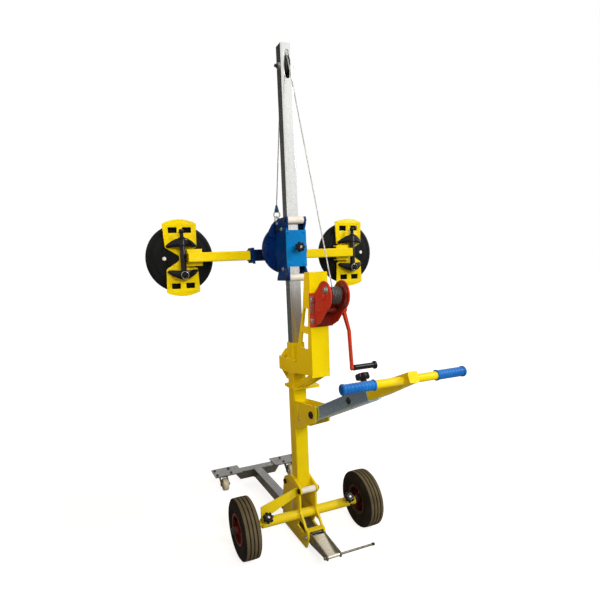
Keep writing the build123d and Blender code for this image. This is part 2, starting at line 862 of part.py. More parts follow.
def hook_tangent_angle():
    dz = rope_end_z - pulley_z
    return atan2(dz, hook_y) + acos(pulley_pitch / hypot(hook_y, dz))


rear_angle = common_tangent_angle()
front_angle = hook_tangent_angle()


def around_pulley(angle):
    return Vector(0, pulley_pitch * cos(angle), pulley_z + pulley_pitch * sin(angle))


def around_drum(angle, x=0):
    return Vector(x, drum_y + drum_pitch * cos(angle), drum_z + drum_pitch * sin(angle))


# Two tangent arcs between two points of a curve with known directions
def biarc(start, start_way, end, end_way):
    chord = end - start
    ways = start_way + end_way
    a = 2 * (start_way.dot(end_way) - 1)
    b = -2 * chord.dot(ways)
    c = chord.dot(chord)
    reach = 2 * c / (-b + sqrt(b * b - 4 * a * c))
    first = start + start_way * reach
    second = end - end_way * reach
    middle = (first + second) / 2
    return [TangentArc(start, middle, tangent=start_way), TangentArc(middle, end, tangent=second - first)]


# Winding from its inner end to the point where the rope leaves the drum, a quarter turn at a time
def winding_stations():
    steps = 4 * winding_turns
    stations = []
    for step in range(steps + 1):
        left = (steps - step) / 4
        angle = rear_angle + 2 * pi * left
        slope = 0 if step == steps else -winding_pitch / (2 * pi)
        way = Vector(slope, drum_pitch * sin(angle), -drum_pitch * cos(angle)).normalized()
        stations.append((around_drum(angle, left * winding_pitch), way))
    return stations


def rope_path():
    stations = winding_stations()
    first, first_way = stations[0]
    edges = [Line(first - first_way * 2 * rope_radius, first)]
    for (start, start_way), (end, end_way) in zip(stations, stations[1:]):
        edges += biarc(start, start_way, end, end_way)
    edges.append(Line(around_drum(rear_angle), around_pulley(rear_angle + 2 * pi)))
    top = around_pulley((rear_angle + 2 * pi + front_angle) / 2)
    edges.append(ThreePointArc(around_pulley(rear_angle + 2 * pi), top, around_pulley(front_angle)))
    return edges


# Least gap of the winding to its own next turn, on points a sixteenth of a turn apart
def winding_gap():
    steps = 16
    turns = [n / steps for n in range(steps * winding_turns)]
    points = [around_drum(2 * pi * turn, winding_pitch * turn) for turn in turns]
    gaps = [(a - b).length for i, a in enumerate(points) for b in points[i + steps // 2:]]
    return min(gaps) - 2 * rope_radius


def rope_run():
    edges = rope_path()
    start = edges[0].position_at(0)
    way = edges[0].tangent_at(0)
    section = Plane(origin=start, z_dir=way) * Circle(rope_radius)
    return sweep(section, path=Wire([edge.edge() for edge in edges]))


def rope_lift():
    top = around_pulley(front_angle)
    low = Vector(0, hook_y, rope_end_z)
    section = Plane(origin=low, z_dir=top - low) * Circle(rope_radius)
    return extrude(section, (top - low).length)


def rope_hook():
    inner = lug_half + hook_leg_gap
    outer = inner + hook_leg
    bow_z = hook_eye_z + hook_bow
    depth = (hook_y - hook_half, hook_y + hook_half)
    ring_radius, wire_radius = hook_ring
    pin = rod_x((-outer, outer), hook_y, hook_eye_z, lug_hole_radius - bolt_gap)
    leg = block((inner, outer), depth, (hook_eye_z - hook_below, bow_z))
    bow = block((-outer, outer), depth, (bow_z - hook_leg, bow_z))
    eye = Pos(0, hook_y, bow_z + ring_radius) * Rot(90, 0, 0) * Torus(ring_radius, wire_radius)
    ferrule_low = bow_z + 2 * ring_radius - 1
    ferrule = rod_z(0, hook_y, (ferrule_low, rope_end_z - 2 * rope_on_core), ferrule_radius)
    return pin + on_both_sides(leg) + bow + eye + ferrule


# Winch
def winch_frame():
    drum = Pos(drum_y, drum_z)
    crank = Pos(crank_y, crank_z)
    low, high = [drum_z + rise for rise in cheek_foot]
    corners = [(drum_y + y, drum_z + z) for y, z in cheek_corners]
    cheek = outline([(winch_seat, low)] + corners + [(winch_seat, high)]) + drum * Circle(cheek_radius)
    cheek += crank * Circle(crank_hub_radius + crank_boss)
    cheek -= drum * Circle(drum_shaft_radius + running_gap)
    cheek -= crank * Circle(crank_shaft_radius + running_gap)
    base_z = [drum_z - drop for drop in winch_base_drop]
    base = block(winch_base_x, (winch_seat, post_rear), base_z)
    for z in winch_bolts_z:
        base -= rod_y(winch_bolt_x, (winch_seat, post_rear), z, winch_bolt_radius + bolt_gap)
    return base + slab_x(cheek, cheek_left) + slab_x(cheek, cheek_right)


def gear_outline(teeth, tip, phase):
    root = tip - tooth_depth
    points = []
    for tooth in range(teeth):
        for share, radius in ((-0.3, root), (-0.16, tip), (0.16, tip), (0.3, root)):
            angle = 2 * pi * (tooth + phase + share) / teeth
            points.append((radius * cos(angle), radius * sin(angle)))
    return outline(points)


def winch_drum():
    core = rod_x(drum_x, drum_y, drum_z, drum_core)
    left = rod_x((drum_x[0] - drum_flange, drum_x[0]), drum_y, drum_z, drum_flange_radius)
    right = rod_x((drum_x[1], drum_x[1] + drum_flange), drum_y, drum_z, drum_flange_radius)
    low = cheek_left[0] - face_gap
    high = cheek_right[1] + face_gap
    shaft = rod_x((low - drum_nut_thick, high + drum_nut_thick), drum_y, drum_z, drum_shaft_radius)
    nut = Pos(drum_y, drum_z) * hexagon(drum_nut_radius)
    nuts = slab_x(nut, (low - drum_nut_thick, low)) + slab_x(nut, (high, high + drum_nut_thick))
    gear = slab_x(Pos(drum_y, drum_z) * gear_outline(gear_teeth, gear_tip, 0), gear_x)
    return core + left + right + shaft + nuts + gear


def winch_crank():
    shaft = rod_x((cheek_left[0] - crank_boss, crank_hub_x[1]), crank_y, crank_z, crank_shaft_radius)
    pinion = slab_x(Pos(crank_y, crank_z) * gear_outline(pinion_teeth, pinion_tip, 0.5), gear_x)
    disc = rod_x(crank_disc_x, crank_y, crank_z, crank_disc_radius)
    hub = rod_x(crank_hub_x, crank_y, crank_z, crank_hub_radius)
    x_top, x_bend, x_end = crank_top_x, crank_bend[0], crank_end[0]
    z_bend = crank_z - crank_bend[1]
    half = crank_bar / 2
    arm = outline([(x_top, crank_z + crank_bar), (x_top, crank_z - 1.5 * crank_bar), (x_bend - half, z_bend),
                   (x_end - half, crank_grip_z), (x_end + half, crank_grip_z), (x_bend + half, z_bend),
                   (x_top + 1.4 * crank_bar, crank_z - crank_bar), (x_top + crank_bar, crank_z + crank_bar)])
    bar = slab_y(arm, (crank_y - crank_depth / 2, crank_y + crank_depth / 2))
    eye = rod_x((x_end - half, x_end + half), crank_y, crank_grip_z, crank_depth / 2 + crank_eye)
    pin_end = crank_grip_x[1] + face_gap
    pin = rod_x((x_end, pin_end), crank_y, crank_grip_z, crank_pin_radius)
    head_radius = crank_pin_radius + crank_pin_head
    head = rod_x((pin_end, pin_end + crank_pin_head), crank_y, crank_grip_z, head_radius)
    return shaft + pinion + disc + hub + bar + eye + pin + head


def crank_grip():
    low, high = crank_grip_x
    bore = crank_pin_radius + running_gap
    head = high - crank_grip_head
    profile = outline([(low, bore), (low, crank_grip_radius + 1), (low + crank_grip_heel, crank_grip_radius),
                       (head - crank_grip_cone, crank_grip_radius), (head, crank_grip_flare),
                       (high, crank_grip_flare), (high, bore)])
    return Pos(0, crank_y, crank_grip_z) * revolve(Plane.XZ * profile, Axis.X)


# Carriage
rear_roller_y = -mast_width / 2 - roller_gap - roller_radius
front_roller_y = -rear_roller_y


def roller_spots():
    rear = [(rear_roller_y, z) for z in rear_rollers_z]
    return rear + [(front_roller_y, z) for z in front_rollers_z]


def carriage_frame():
    plate = outline(carriage_outline)
    for spot in roller_spots():
        plate -= Pos(*spot) * Circle(roller_pin_radius + bolt_gap)
    sides = on_both_sides(slab_x(plate, (carriage_inner, carriage_outer)))
    width = (-carriage_outer, carriage_outer)
    cover_rear = carriage_rear - cover_thick
    cover = block(width, (cover_rear, carriage_rear), cover_z)
    front = block(width, front_plate_y, front_plate_z)
    lug = outline(lug_outline) - Pos(hook_y, hook_eye_z) * Circle(lug_hole_radius)
    root = front_plate_y[1]
    spindle = rod_y(0, (root - 1, root + spindle_length), head_z, spindle_head_radius)
    knob_x, knob_z = carriage_knob_at
    boss_y = (cover_rear - carriage_boss, carriage_rear)
    boss = rod_y(knob_x, boss_y, knob_z, knob_boss_radius)
    frame = sides + cover + front + slab_x(lug, (-lug_half, lug_half)) + spindle + boss
    return frame - rod_y(knob_x, boss_y, knob_z, knob_stud_radius + running_gap)


def roller(spot):
    half = carriage_inner - face_gap
    bore = roller_pin_radius + running_gap
    edge = [(half, bore), (half, roller_radius - roller_bevel), (half - roller_bevel, roller_radius)]
    return Pos(0, *spot) * revolve(Plane.XZ * outline(mirrored(edge)), Axis.X)


def roller_bolts():
    return Part() + [cross_bolt(carriage_outer, *spot, roller_pin_radius) for spot in roller_spots()]


def carriage_knob():
    knob_x, knob_z = carriage_knob_at
    stud = -mast_width / 2 - slide_gap - carriage_knob_seat
    knob = star_knob(carriage_knob_radius, carriage_knob_height, stud)
    return Pos(knob_x, carriage_knob_seat, knob_z) * Rot(90, 0, 0) * knob


# Turning head with the sleeve for both arms
disc_rear = front_plate_y[1] + face_gap
disc_front = disc_rear + disc_thick


def turning_head():
    plate = rod_y(0, (disc_rear, disc_front), head_z, disc_radius)
    for hole in range(index_holes):
        angle = 2 * pi * (hole + 0.5) / index_holes
        x, z = index_circle * cos(angle), head_z + index_circle * sin(angle)
        plate -= rod_y(x, (disc_rear, disc_rear + index_depth), z, index_radius)
    sleeve_rear = arm_y - sleeve_width / 2
    boss = rod_y(0, (disc_front - 1, sleeve_rear), head_z, head_boss_radius)
    half = sleeve_width / 2
    rib_root, rib_end = disc_front - 1, sleeve_rear + 2
    rib = outline([(rib_root, head_z + head_rib_rise), (rib_root, head_z - head_rib_drop),
                   (rib_end, arm_z - half), (rib_end, arm_z + half)])
    ribs = on_both_sides(slab_x(rib, head_rib_x))
    ring_wall = (sleeve_width - arm_width) / 2 - slide_gap
    ring = Pos(arm_y, arm_z) * square_ring(sleeve_width, ring_wall)
    sleeve = slab_x(ring, (-sleeve_half, sleeve_half))
    lip_ring = Pos(arm_y, arm_z) * (RectangleRounded(sleeve_lip, sleeve_lip, tube_corner)
                                    - Rectangle(sleeve_width - 2, sleeve_width - 2))
    lip = slab_x(lip_ring, sleeve_lip_x)
    sleeve_low = arm_z - half
    screw = rod_z(sleeve_half - sleeve_screw_inset, arm_y, (sleeve_low - sleeve_screw_length, sleeve_low + 1),
                  sleeve_screw_radius)
    head = plate + boss + ribs + sleeve + on_both_sides(lip) + on_both_sides(screw)
    bore_end = front_plate_y[1] + spindle_length + spindle_end_gap
    return head - rod_y(0, (disc_rear - 1, bore_end), head_z, spindle_head_radius + running_gap)


def arm():
    ring = Pos(arm_y, arm_z) * square_ring(arm_width, arm_wall)
    tube = slab_x(ring, arm_x)
    front = arm_y + arm_width / 2
    back_plate = block(arm_bracket_x, (front - 0.5, front + arm_bracket_thick),
                       (arm_z - arm_bracket_half, arm_z + arm_bracket_half))
    bracket = back_plate
    for z in (arm_bracket_half - arm_bracket_thick, -arm_bracket_half):
        bracket += block(arm_bracket_x, (front, cup_plate_y[0]), (arm_z + z, arm_z + z + arm_bracket_thick))
    return tube + bracket


# Cups, drawn around x = z = 0 and moved to the end of an arm
cup_place = Pos(cup_x, 0, arm_z)


def cup_plate():
    top = cup_plate_right_edge
    shape = outline(mirrored([(x, -z) for x, z in reversed(top)] + top)) & Circle(cup_plate_radius)
    edge = shape - Circle(cup_plate_radius - plate_lip_thick)
    low_x, high_x = cup_windows_x
    low_z, high_z = cup_windows_z
    for side_x in (-1, 1):
        for side_z in (-1, 1):
            middle = Pos(side_x * (low_x + high_x) / 2, side_z * (low_z + high_z) / 2)
            shape -= middle * RectangleRounded(high_x - low_x, high_z - low_z, cup_window_corner)
    sheet = slab_y(shape, cup_plate_y)
    lips = slab_y(edge, (cup_plate_y[0], cup_plate_y[1] + plate_lip_depth))
    return cup_place * (sheet + lips)


def cup_pad():
    plate = cup_plate_y[1]
    floor = cup_front - cup_recess
    profile = [(0, plate)] + [(radius, plate + rise) for radius, rise in cup_back]
    profile += [(cup_radius, cup_front - cup_edge), (cup_radius, cup_front)]
    profile += [(cup_radius - cup_lip, cup_front), (cup_radius - 2 * cup_lip, floor), (0, floor)]
    pad = revolve(outline(profile), Axis.Y)
    socket = rod_y(valve_offset, (plate, cup_front - cup_core), 0, valve_radius + slide_gap)
    return cup_place * (pad - socket)


def cup_pump():
    body = rod_z(0, pump_y, pump_z, pump_radius)
    wall = cup_plate_y[0]
    heel = pump_y + pump_heel
    inner_half = foot_half - foot_thick
    outer_arc = ThreePointArc((-foot_half, wall), (0, heel), (foot_half, wall))
    inner_arc = ThreePointArc((inner_half, wall), (0, heel + foot_thick), (-inner_half, wall))
    toes = [Line((foot_half, wall), (inner_half, wall)), Line((-inner_half, wall), (-foot_half, wall))]
    bow = make_face([outer_arc, toes[0], inner_arc, toes[1]])
    for low in foot_z:
        body += slab_z(bow, (low, low + foot_height))
    bore_low = pump_z[1] - plunger_depth - plunger_travel - plunger_end_gap
    bore = rod_z(0, pump_y, (bore_low, pump_z[1] + plunger_travel), plunger_radius + slide_gap)
    return cup_place * (body - bore)


def cup_plunger():
    cap_low = pump_z[1] + plunger_travel + face_gap
    stem = rod_z(0, pump_y, (pump_z[1] - plunger_depth, cap_low), plunger_radius)
    cap = rod_z(0, pump_y, (cap_low, cap_low + plunger_cap_height), plunger_cap_radius)
    cap = chamfer(cap.edges().group_by(Axis.Z)[-1], 3)
    return cup_place * (stem + cap)


def cup_valve():
    seat = cup_front - cup_core - valve_travel - valve_end_gap
    button = rod_y(valve_offset, (cup_plate_y[1] - valve_proud, seat), 0, valve_radius)
    return cup_place * chamfer(button.edges().group_by(Axis.Y)[0], 2)


pieces = {
    "axle_tube": axle_tube(),
    "axle_brace": axle_brace(),
    "chassis_frame": chassis_frame(),
    "chassis_spacers": chassis_spacers(),
    "column": column(),
    "base_beam": base_beam(),
    "cross_tube": cross_tube(),
    "end_plates": end_plates(),
    "mount_bolts": mount_bolts(),
    "caster_heads": caster_heads(),
    "pedal_lever": pedal_lever(),
    "pedal_bar": pedal_bar(),
    "drawbar_bracket": drawbar_bracket(),
    "drawbar_tube": drawbar_tube(),
    "handle_tube": handle_tube(),
    "handle_grips": handle_grips(),
    "drawbar_knob": drawbar_knob(),
    "winch_stand": winch_stand(),
    "mast": mast(),
    "top_pulley": top_pulley(),
    "pivot_bolts": pivot_bolts(),
    "rope_run": rope_run(),
    "rope_lift": rope_lift(),
    "rope_hook": rope_hook(),
    "winch_frame": winch_frame(),
    "winch_drum": winch_drum(),
    "winch_crank": winch_crank(),
    "crank_grip": crank_grip(),
    "carriage_frame": carriage_frame(),
    "roller_bolts": roller_bolts(),
    "carriage_knob": carriage_knob(),
    "turning_head": turning_head(),
}
roller_names = ("rear_roller_upper", "rear_roller_lower", "front_roller_upper", "front_roller_lower")
for name, spot in zip(roller_names, roller_spots()):
    pieces[name] = roller(spot)
paired = {
    "wheel_rim": wheel_rim,
    "tyre": tyre,
    "stub_axle": stub_axle,
    "axle_knob": axle_knob,
    "caster_fork": caster_fork,
    "caster_wheel": caster_wheel,
    "arm": arm,
    "cup_plate": cup_plate,
    "cup_pad": cup_pad,
    "cup_pump": cup_pump,
    "cup_plunger": cup_plunger,
    "cup_valve": cup_valve,
}
for name, make in paired.items():
    right = make()
    pieces[name + "_right"] = right
    pieces[name + "_left"] = left_of(right)

boxes = [piece.bounding_box() for piece in pieces.values()]
middle_y = (min(box.min.Y for box in boxes) + max(box.max.Y for box in boxes)) / 2
for name, piece in pieces.items():
    export_step(Pos(0, -middle_y, 0) * piece, f"parts/{name}.step")

print("middle of the machine at y", round(middle_y, 3))
print("least gap of the winding to itself", round(winding_gap(), 3))
print("rope leaves the pulley at", around_pulley(front_angle))
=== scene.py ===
import json
import math
import bmesh
import bpy
from mathutils import Matrix, Vector


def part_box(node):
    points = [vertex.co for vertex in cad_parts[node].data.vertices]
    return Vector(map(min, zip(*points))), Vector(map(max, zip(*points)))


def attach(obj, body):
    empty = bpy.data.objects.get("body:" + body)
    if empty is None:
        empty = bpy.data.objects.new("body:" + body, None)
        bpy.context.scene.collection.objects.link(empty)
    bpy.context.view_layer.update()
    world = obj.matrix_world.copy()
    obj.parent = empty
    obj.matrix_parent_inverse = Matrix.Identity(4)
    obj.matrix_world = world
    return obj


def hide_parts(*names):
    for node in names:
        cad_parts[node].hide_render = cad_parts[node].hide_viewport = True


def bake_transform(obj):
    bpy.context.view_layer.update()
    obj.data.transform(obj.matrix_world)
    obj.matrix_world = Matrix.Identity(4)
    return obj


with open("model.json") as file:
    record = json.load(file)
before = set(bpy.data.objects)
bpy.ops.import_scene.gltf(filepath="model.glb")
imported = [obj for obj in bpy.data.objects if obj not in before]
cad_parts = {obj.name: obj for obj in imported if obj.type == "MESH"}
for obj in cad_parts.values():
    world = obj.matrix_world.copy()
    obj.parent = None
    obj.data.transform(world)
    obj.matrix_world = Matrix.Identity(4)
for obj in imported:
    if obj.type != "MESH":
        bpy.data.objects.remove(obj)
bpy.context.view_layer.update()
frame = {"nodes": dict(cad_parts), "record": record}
nodes = frame["nodes"]
scene = bpy.context.scene
mastLow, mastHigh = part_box("mast")
mastY = (mastLow.y + mastHigh.y) / 2   # where the mast stands in the row frame
mm = 0.001
sides = (("right", 1), ("left", -1))
# places that several pieces share, in millimetres; an axis along X is (y, z)
wheelAxis = (-45, 130)
spacerAxes = ((82, 235), (-72, 250))
pedalPivot = (-128, 62)
barPivot = (-201, 630)
drumAxis = (-320, 1108)
pulleyAxis = (0, 2002)
wheelX = 292
cupX, cupZ = 417, 1277
barKnobY = -392   # along the drawbar
print("frame loaded with", len(nodes), "nodes")


# places and turns, in millimetres from the mast's axis and the floor
def spot(x, y, z):
    return Vector((x * mm, y * mm + mastY, z * mm))


def standAt(x, y, z):
    return Matrix.Translation(spot(x, y, z))


def shift(x, y, z):
    return Matrix.Translation(Vector((x, y, z)) * mm)


def turn(degrees, axis):
    return Matrix.Rotation(math.radians(degrees), 4, axis)


def facing(x, y, z, direction):   # local +Z along the direction
    return standAt(x, y, z) @ Vector(direction).to_track_quat("Z", "Y").to_matrix().to_4x4()


def facingX(x, y, z):   # on a face that looks away from the middle plane
    return facing(x, y, z, (1 if x > 0 else -1, 0, 0))


acrossX = turn(90, "Y")   # local +Z along +X
rearward = turn(90, "X")   # local +Z along -Y
barFrame = standAt(0, *barPivot) @ turn(-24.4, "X")   # the drawbar lies along its -Y


# node helpers
def feed(tree, socket, value):
    if isinstance(value, bpy.types.NodeSocket):
        tree.links.new(value, socket)
    else:
        isColor = socket.type == "RGBA" and len(value) == 3
        socket.default_value = (*value, 1) if isColor else value


def addNode(tree, kind, settings=None, **values):
    made = tree.nodes.new("ShaderNode" + kind)
    for key, value in (settings or {}).items():
        setattr(made, key, value)
    for key, value in values.items():
        feed(tree, made.inputs[key.replace("_", " ")], value)
    return made


def maths(tree, operation, *values, clamp=False):
    made = addNode(tree, "Math", {"operation": operation, "use_clamp": clamp})
    for socket, value in zip(made.inputs, values):
        feed(tree, socket, value)
    return made.outputs[0]


def vectorMaths(tree, operation, *values, output="Value"):
    made = addNode(tree, "VectorMath", {"operation": operation})
    for socket, value in zip(made.inputs, values):
        feed(tree, socket, value)
    return made.outputs[output]


def ramp(tree, value, low, high, start=0.0, end=1.0):
    made = addNode(tree, "MapRange", Value=value, From_Min=low, From_Max=high, To_Min=start, To_Max=end)
    return made.outputs["Result"]


def blendColor(tree, share, first, second):
    made = addNode(tree, "Mix", {"data_type": "RGBA"})
    for number, value in ((0, share), (6, first), (7, second)):
        feed(tree, made.inputs[number], value)
    return made.outputs[2]


def placeOn(tree):
    return addNode(tree, "TexCoord").outputs["Object"]


def axesOf(tree, vector):
    return addNode(tree, "SeparateXYZ", Vector=vector).outputs


def noiseOn(tree, scale, detail, rough, stretch=None):
    place = placeOn(tree)
    if stretch:
        place = addNode(tree, "Mapping", Vector=place, Scale=stretch).outputs[0]
    return addNode(tree, "TexNoise", Vector=place, Scale=scale, Detail=detail, Roughness=rough).outputs["Fac"]


def newFinish(name, **constants):
    finish = bpy.data.materials.new(name)
    finish.use_nodes = True
    tree = finish.node_tree
    inputs = tree.nodes["Principled BSDF"].inputs
    for key, value in constants.items():
        feed(tree, inputs[key.replace("_", " ")], value)
    return finish, tree, inputs


# stage: pale floor, white surround, soft lamps, and a grey card that only reflections show
floorLook = {"half": 30, "z": -0.0005, "tone": 0.42, "rough": 0.8, "shine": 0.1,
             "reach": (1.2, 3.2), "glow": (0.82, 1.0)}
skyLook = {"level": 0.28, "tint": (1.0, 0.68, 0.38)}
cardLook = {"x": (-2.9, -0.4), "y": 1.7, "z": (0.0, 3.8), "tone": (0.06, 0.066, 0.068),
            "fade": (1.2, 2.9, 1.0, 0.3), "hiddenFrom": ("camera", "diffuse", "transmission", "shadow")}
lampAim = 0.95
lampLook = {"key": {"place": (2.6, -2.5, 3.2), "power": 82, "size": 1.5, "mirrored": True},
            "front": {"place": (-0.2, -3.4, 2.3), "power": 74, "size": 1.4},
            "fill": {"place": (-1.9, -0.36, 1.8), "power": 2.3, "size": 0.7,   # warm light on the upper left
                     "aim": 1.25, "spread": 55, "tint": (1.0, 0.78, 0.5)},
            "back": {"place": (0.6, 3.0, 2.8), "power": 22, "size": 2.0}}


def buildSky(look):
    world = bpy.data.worlds.new("surround")
    scene.world = world
    world.use_nodes = True
    tree = world.node_tree
    tree.nodes.clear()
    path = addNode(tree, "LightPath").outputs
    mirrored = maths(tree, "MAXIMUM", path["Is Glossy Ray"], path["Is Transmission Ray"])
    seen = maths(tree, "MAXIMUM", path["Is Camera Ray"], mirrored)
    tint = blendColor(tree, seen, look["tint"], (1, 1, 1))
    sky = addNode(tree, "Background", Color=tint, Strength=ramp(tree, seen, 0, 1, look["level"], 1.0))
    tree.links.new(sky.outputs[0], addNode(tree, "OutputWorld").inputs[0])


def stageSheet(name, corners, **constants):
    mesh = bpy.data.meshes.new(name)
    mesh.from_pydata(corners, [], [(0, 1, 2, 3)])
    sheet = bpy.data.objects.new(name, mesh)
    scene.collection.objects.link(sheet)
    finish, tree, inputs = newFinish(name + "Face", **constants)
    mesh.materials.append(finish)
    return sheet, tree, inputs


def buildFloor(look):
    half, z = look["half"], look["z"]
    corners = [(-half, -half, z), (half, -half, z), (half, half, z), (-half, half, z)]
    _, tree, inputs = stageSheet("floor", corners, Base_Color=(look["tone"],) * 3, Roughness=look["rough"],
                                 Specular_IOR_Level=look["shine"], Emission_Color=(1, 1, 1))
    glow = ramp(tree, vectorMaths(tree, "LENGTH", placeOn(tree)), *look["reach"], *look["glow"])
    seen = addNode(tree, "LightPath").outputs["Is Camera Ray"]
    feed(tree, inputs["Emission Strength"], maths(tree, "MULTIPLY", seen, glow))


def buildCard(look):
    (x0, x1), y, (z0, z1) = look["x"], look["y"], look["z"]
    corners = [(x0, y, z0), (x1, y, z0), (x1, y, z1), (x0, y, z1)]
    card, tree, inputs = stageSheet("greyCard", corners, Base_Color=(0, 0, 0), Specular_IOR_Level=0,
                                    Emission_Color=look["tone"])
    for ray in look["hiddenFrom"]:
        setattr(card, "visible_" + ray, False)
    rise = axesOf(tree, placeOn(tree))["Z"]
    feed(tree, inputs["Emission Strength"], ramp(tree, rise, *look["fade"]))


def buildLamp(name, look):
    lamp = bpy.data.lights.new(name + "Lamp", "AREA")
    lamp.energy = look["power"]
    lamp.shape = "DISK"
    lamp.size = look["size"]
    lamp.spread = math.radians(look.get("spread", 180))
    lamp.color = look.get("tint", (1, 1, 1))
    held = bpy.data.objects.new(name + "Lamp", lamp)
    scene.collection.objects.link(held)
    held.location = look["place"]
    held.visible_glossy = look.get("mirrored", False)   # the others leave no image on the steel
    aim = Vector((0, 0, look.get("aim", lampAim))) - held.location
    held.rotation_mode = "QUATERNION"
    held.rotation_quaternion = aim.to_track_quat("-Z", "Y")


cameraLook = {"place": (-820.4, -1838.8, 1213.6), "yaw": 22.086, "pitch": 8.905, "roll": 2.608,
              "lens": 28.266, "sensor": 36, "shift": (0.034, 0.0707), "reach": 60}


def buildCamera(look):
    yaw, pitch, roll = (math.radians(look[key]) for key in ("yaw", "pitch", "roll"))
    ahead = Vector((math.sin(yaw) * math.cos(pitch), math.cos(yaw) * math.cos(pitch), -math.sin(pitch)))
    right = Vector((math.cos(yaw), -math.sin(yaw), 0))
    up = right.cross(ahead)
    tiltedRight = right * math.cos(roll) - up * math.sin(roll)
    tiltedUp = right * math.sin(roll) + up * math.cos(roll)
    data = bpy.data.cameras.new("photoView")
    data.sensor_width = look["sensor"]
    data.lens = look["lens"]
    data.shift_x, data.shift_y = look["shift"]
    data.clip_end = look["reach"]
    camera = bpy.data.objects.new("photoView", data)
    scene.collection.objects.link(camera)
    axes = Matrix((tiltedRight, tiltedUp, -ahead)).transposed()
    camera.matrix_world = standAt(*look["place"]) @ axes.to_4x4()
    scene.camera = camera


buildSky(skyLook)
buildFloor(floorLook)
buildCard(cardLook)
for name, look in lampLook.items():
    buildLamp(name, look)
buildCamera(cameraLook)
scene.view_settings.view_transform = "Standard"
print("stage and camera ready")


# node groups that the finishes share
def openGroup(name, **given):
    tree = bpy.data.node_groups.new(name, "ShaderNodeTree")
    for label, start in given.items():
        socket = tree.interface.new_socket(label, in_out="INPUT", socket_type="NodeSocketFloat")
        socket.default_value = start
    return tree, tree.nodes.new("NodeGroupInput").outputs


def closeGroup(tree, **results):
    for label in results:
        kind = "NodeSocketVector" if label == "Normal" else "NodeSocketFloat"
        tree.interface.new_socket(label, in_out="OUTPUT", socket_type=kind)
    ends = tree.nodes.new("NodeGroupOutput").inputs
    for label, value in results.items():
        feed(tree, ends[label], value)
    return tree


def makeEdgeWear():   # rounded edges for the light, and a broken mask where paint has gone from them
    tree, given = openGroup("edgeWear", Round=0.001, Width=0.003, Scale=60.0, Amount=0.4)
    soft = addNode(tree, "Bevel", {"samples": 4}, Radius=given["Round"]).outputs[0]
    wide = addNode(tree, "Bevel", {"samples": 4}, Radius=given["Width"]).outputs[0]
    flat = addNode(tree, "NewGeometry").outputs["Normal"]
    edge = ramp(tree, vectorMaths(tree, "DOT_PRODUCT", wide, flat), 0.97, 0.80)
    limit = maths(tree, "MULTIPLY_ADD", given["Amount"], -0.35, 0.70)
    over = maths(tree, "SUBTRACT", noiseOn(tree, given["Scale"], 6.0, 0.68), limit)
    patch = ramp(tree, over, 0.0, 0.05)
    return closeGroup(tree, Mask=maths(tree, "MULTIPLY", edge, patch), Normal=soft)


def makeDustFilm():   # settles on upper faces and near the floor
    tree, given = openGroup("dustFilm", Amount=0.4, Scale=25.0, Reach=0.35)
    normal = axesOf(tree, addNode(tree, "NewGeometry").outputs["Normal"])["Z"]
    height = axesOf(tree, placeOn(tree))["Z"]
    upper = ramp(tree, normal, 0.45, 1.0, 0.0, 0.7)
    lower = ramp(tree, maths(tree, "DIVIDE", height, given["Reach"]), 1.0, 0.0, 0.0, 0.8)
    cloud = ramp(tree, noiseOn(tree, given["Scale"], 6.0, 0.7), 0.36, 0.72)
    thick = maths(tree, "MULTIPLY", maths(tree, "ADD", upper, lower, clamp=True), cloud)
    return closeGroup(tree, Mask=maths(tree, "MULTIPLY", thick, given["Amount"], clamp=True))


def makePaintSkin():   # slow change of tone, and the fine orange peel of a sprayed coat
    tree, given = openGroup("paintSkin", Scale=9.0, Peel=420.0)
    slow = ramp(tree, noiseOn(tree, given["Scale"], 3.0, 0.55), 0.30, 0.70)
    return closeGroup(tree, Tone=slow, Height=noiseOn(tree, given["Peel"], 2.0, 0.5))


def makeScratches():   # sparse thin marks in two directions
    tree, given = openGroup("scratchMarks", Scale=9.0, Amount=0.4)
    thin = []
    for stretch in ((1.0, 1.3, 26.0), (22.0, 2.0, 1.5)):
        line = noiseOn(tree, given["Scale"], 2.0, 0.5, stretch)
        away = maths(tree, "ABSOLUTE", maths(tree, "SUBTRACT", line, 0.5))
        thin.append(ramp(tree, away, 0.008, 0.002))
    sparse = ramp(tree, noiseOn(tree, given["Scale"], 3.0, 0.6), 0.56, 0.66)
    marks = maths(tree, "MULTIPLY", maths(tree, "MAXIMUM", *thin), sparse)
    return closeGroup(tree, Mask=maths(tree, "MULTIPLY", marks, given["Amount"], clamp=True))


def makeZincSpangle():   # crystals of a hot zinc coat, with drawn streaks
    tree, given = openGroup("zincSpangle", Scale=75.0)
    place = placeOn(tree)
    bent = addNode(tree, "TexNoise", Vector=place, Scale=30.0, Detail=3.0).outputs["Color"]
    moved = vectorMaths(tree, "MULTIPLY_ADD", bent, (0.012, 0.012, 0.012), place, output="Vector")
    cell = addNode(tree, "TexVoronoi", Vector=moved, Scale=given["Scale"]).outputs["Color"]
    grey = addNode(tree, "SeparateColor", Color=cell).outputs["Red"]
    cloud = noiseOn(tree, 14.0, 5.0, 0.65)
    tone = maths(tree, "MULTIPLY_ADD", grey, 0.45, maths(tree, "MULTIPLY", cloud, 0.55))
    streak = ramp(tree, noiseOn(tree, 5.0, 5.0, 0.6, (26.0, 26.0, 1.2)), 0.35, 0.68)
    return closeGroup(tree, Tone=tone, Height=maths(tree, "MULTIPLY_ADD", grey, 0.6, cloud), Streak=streak)


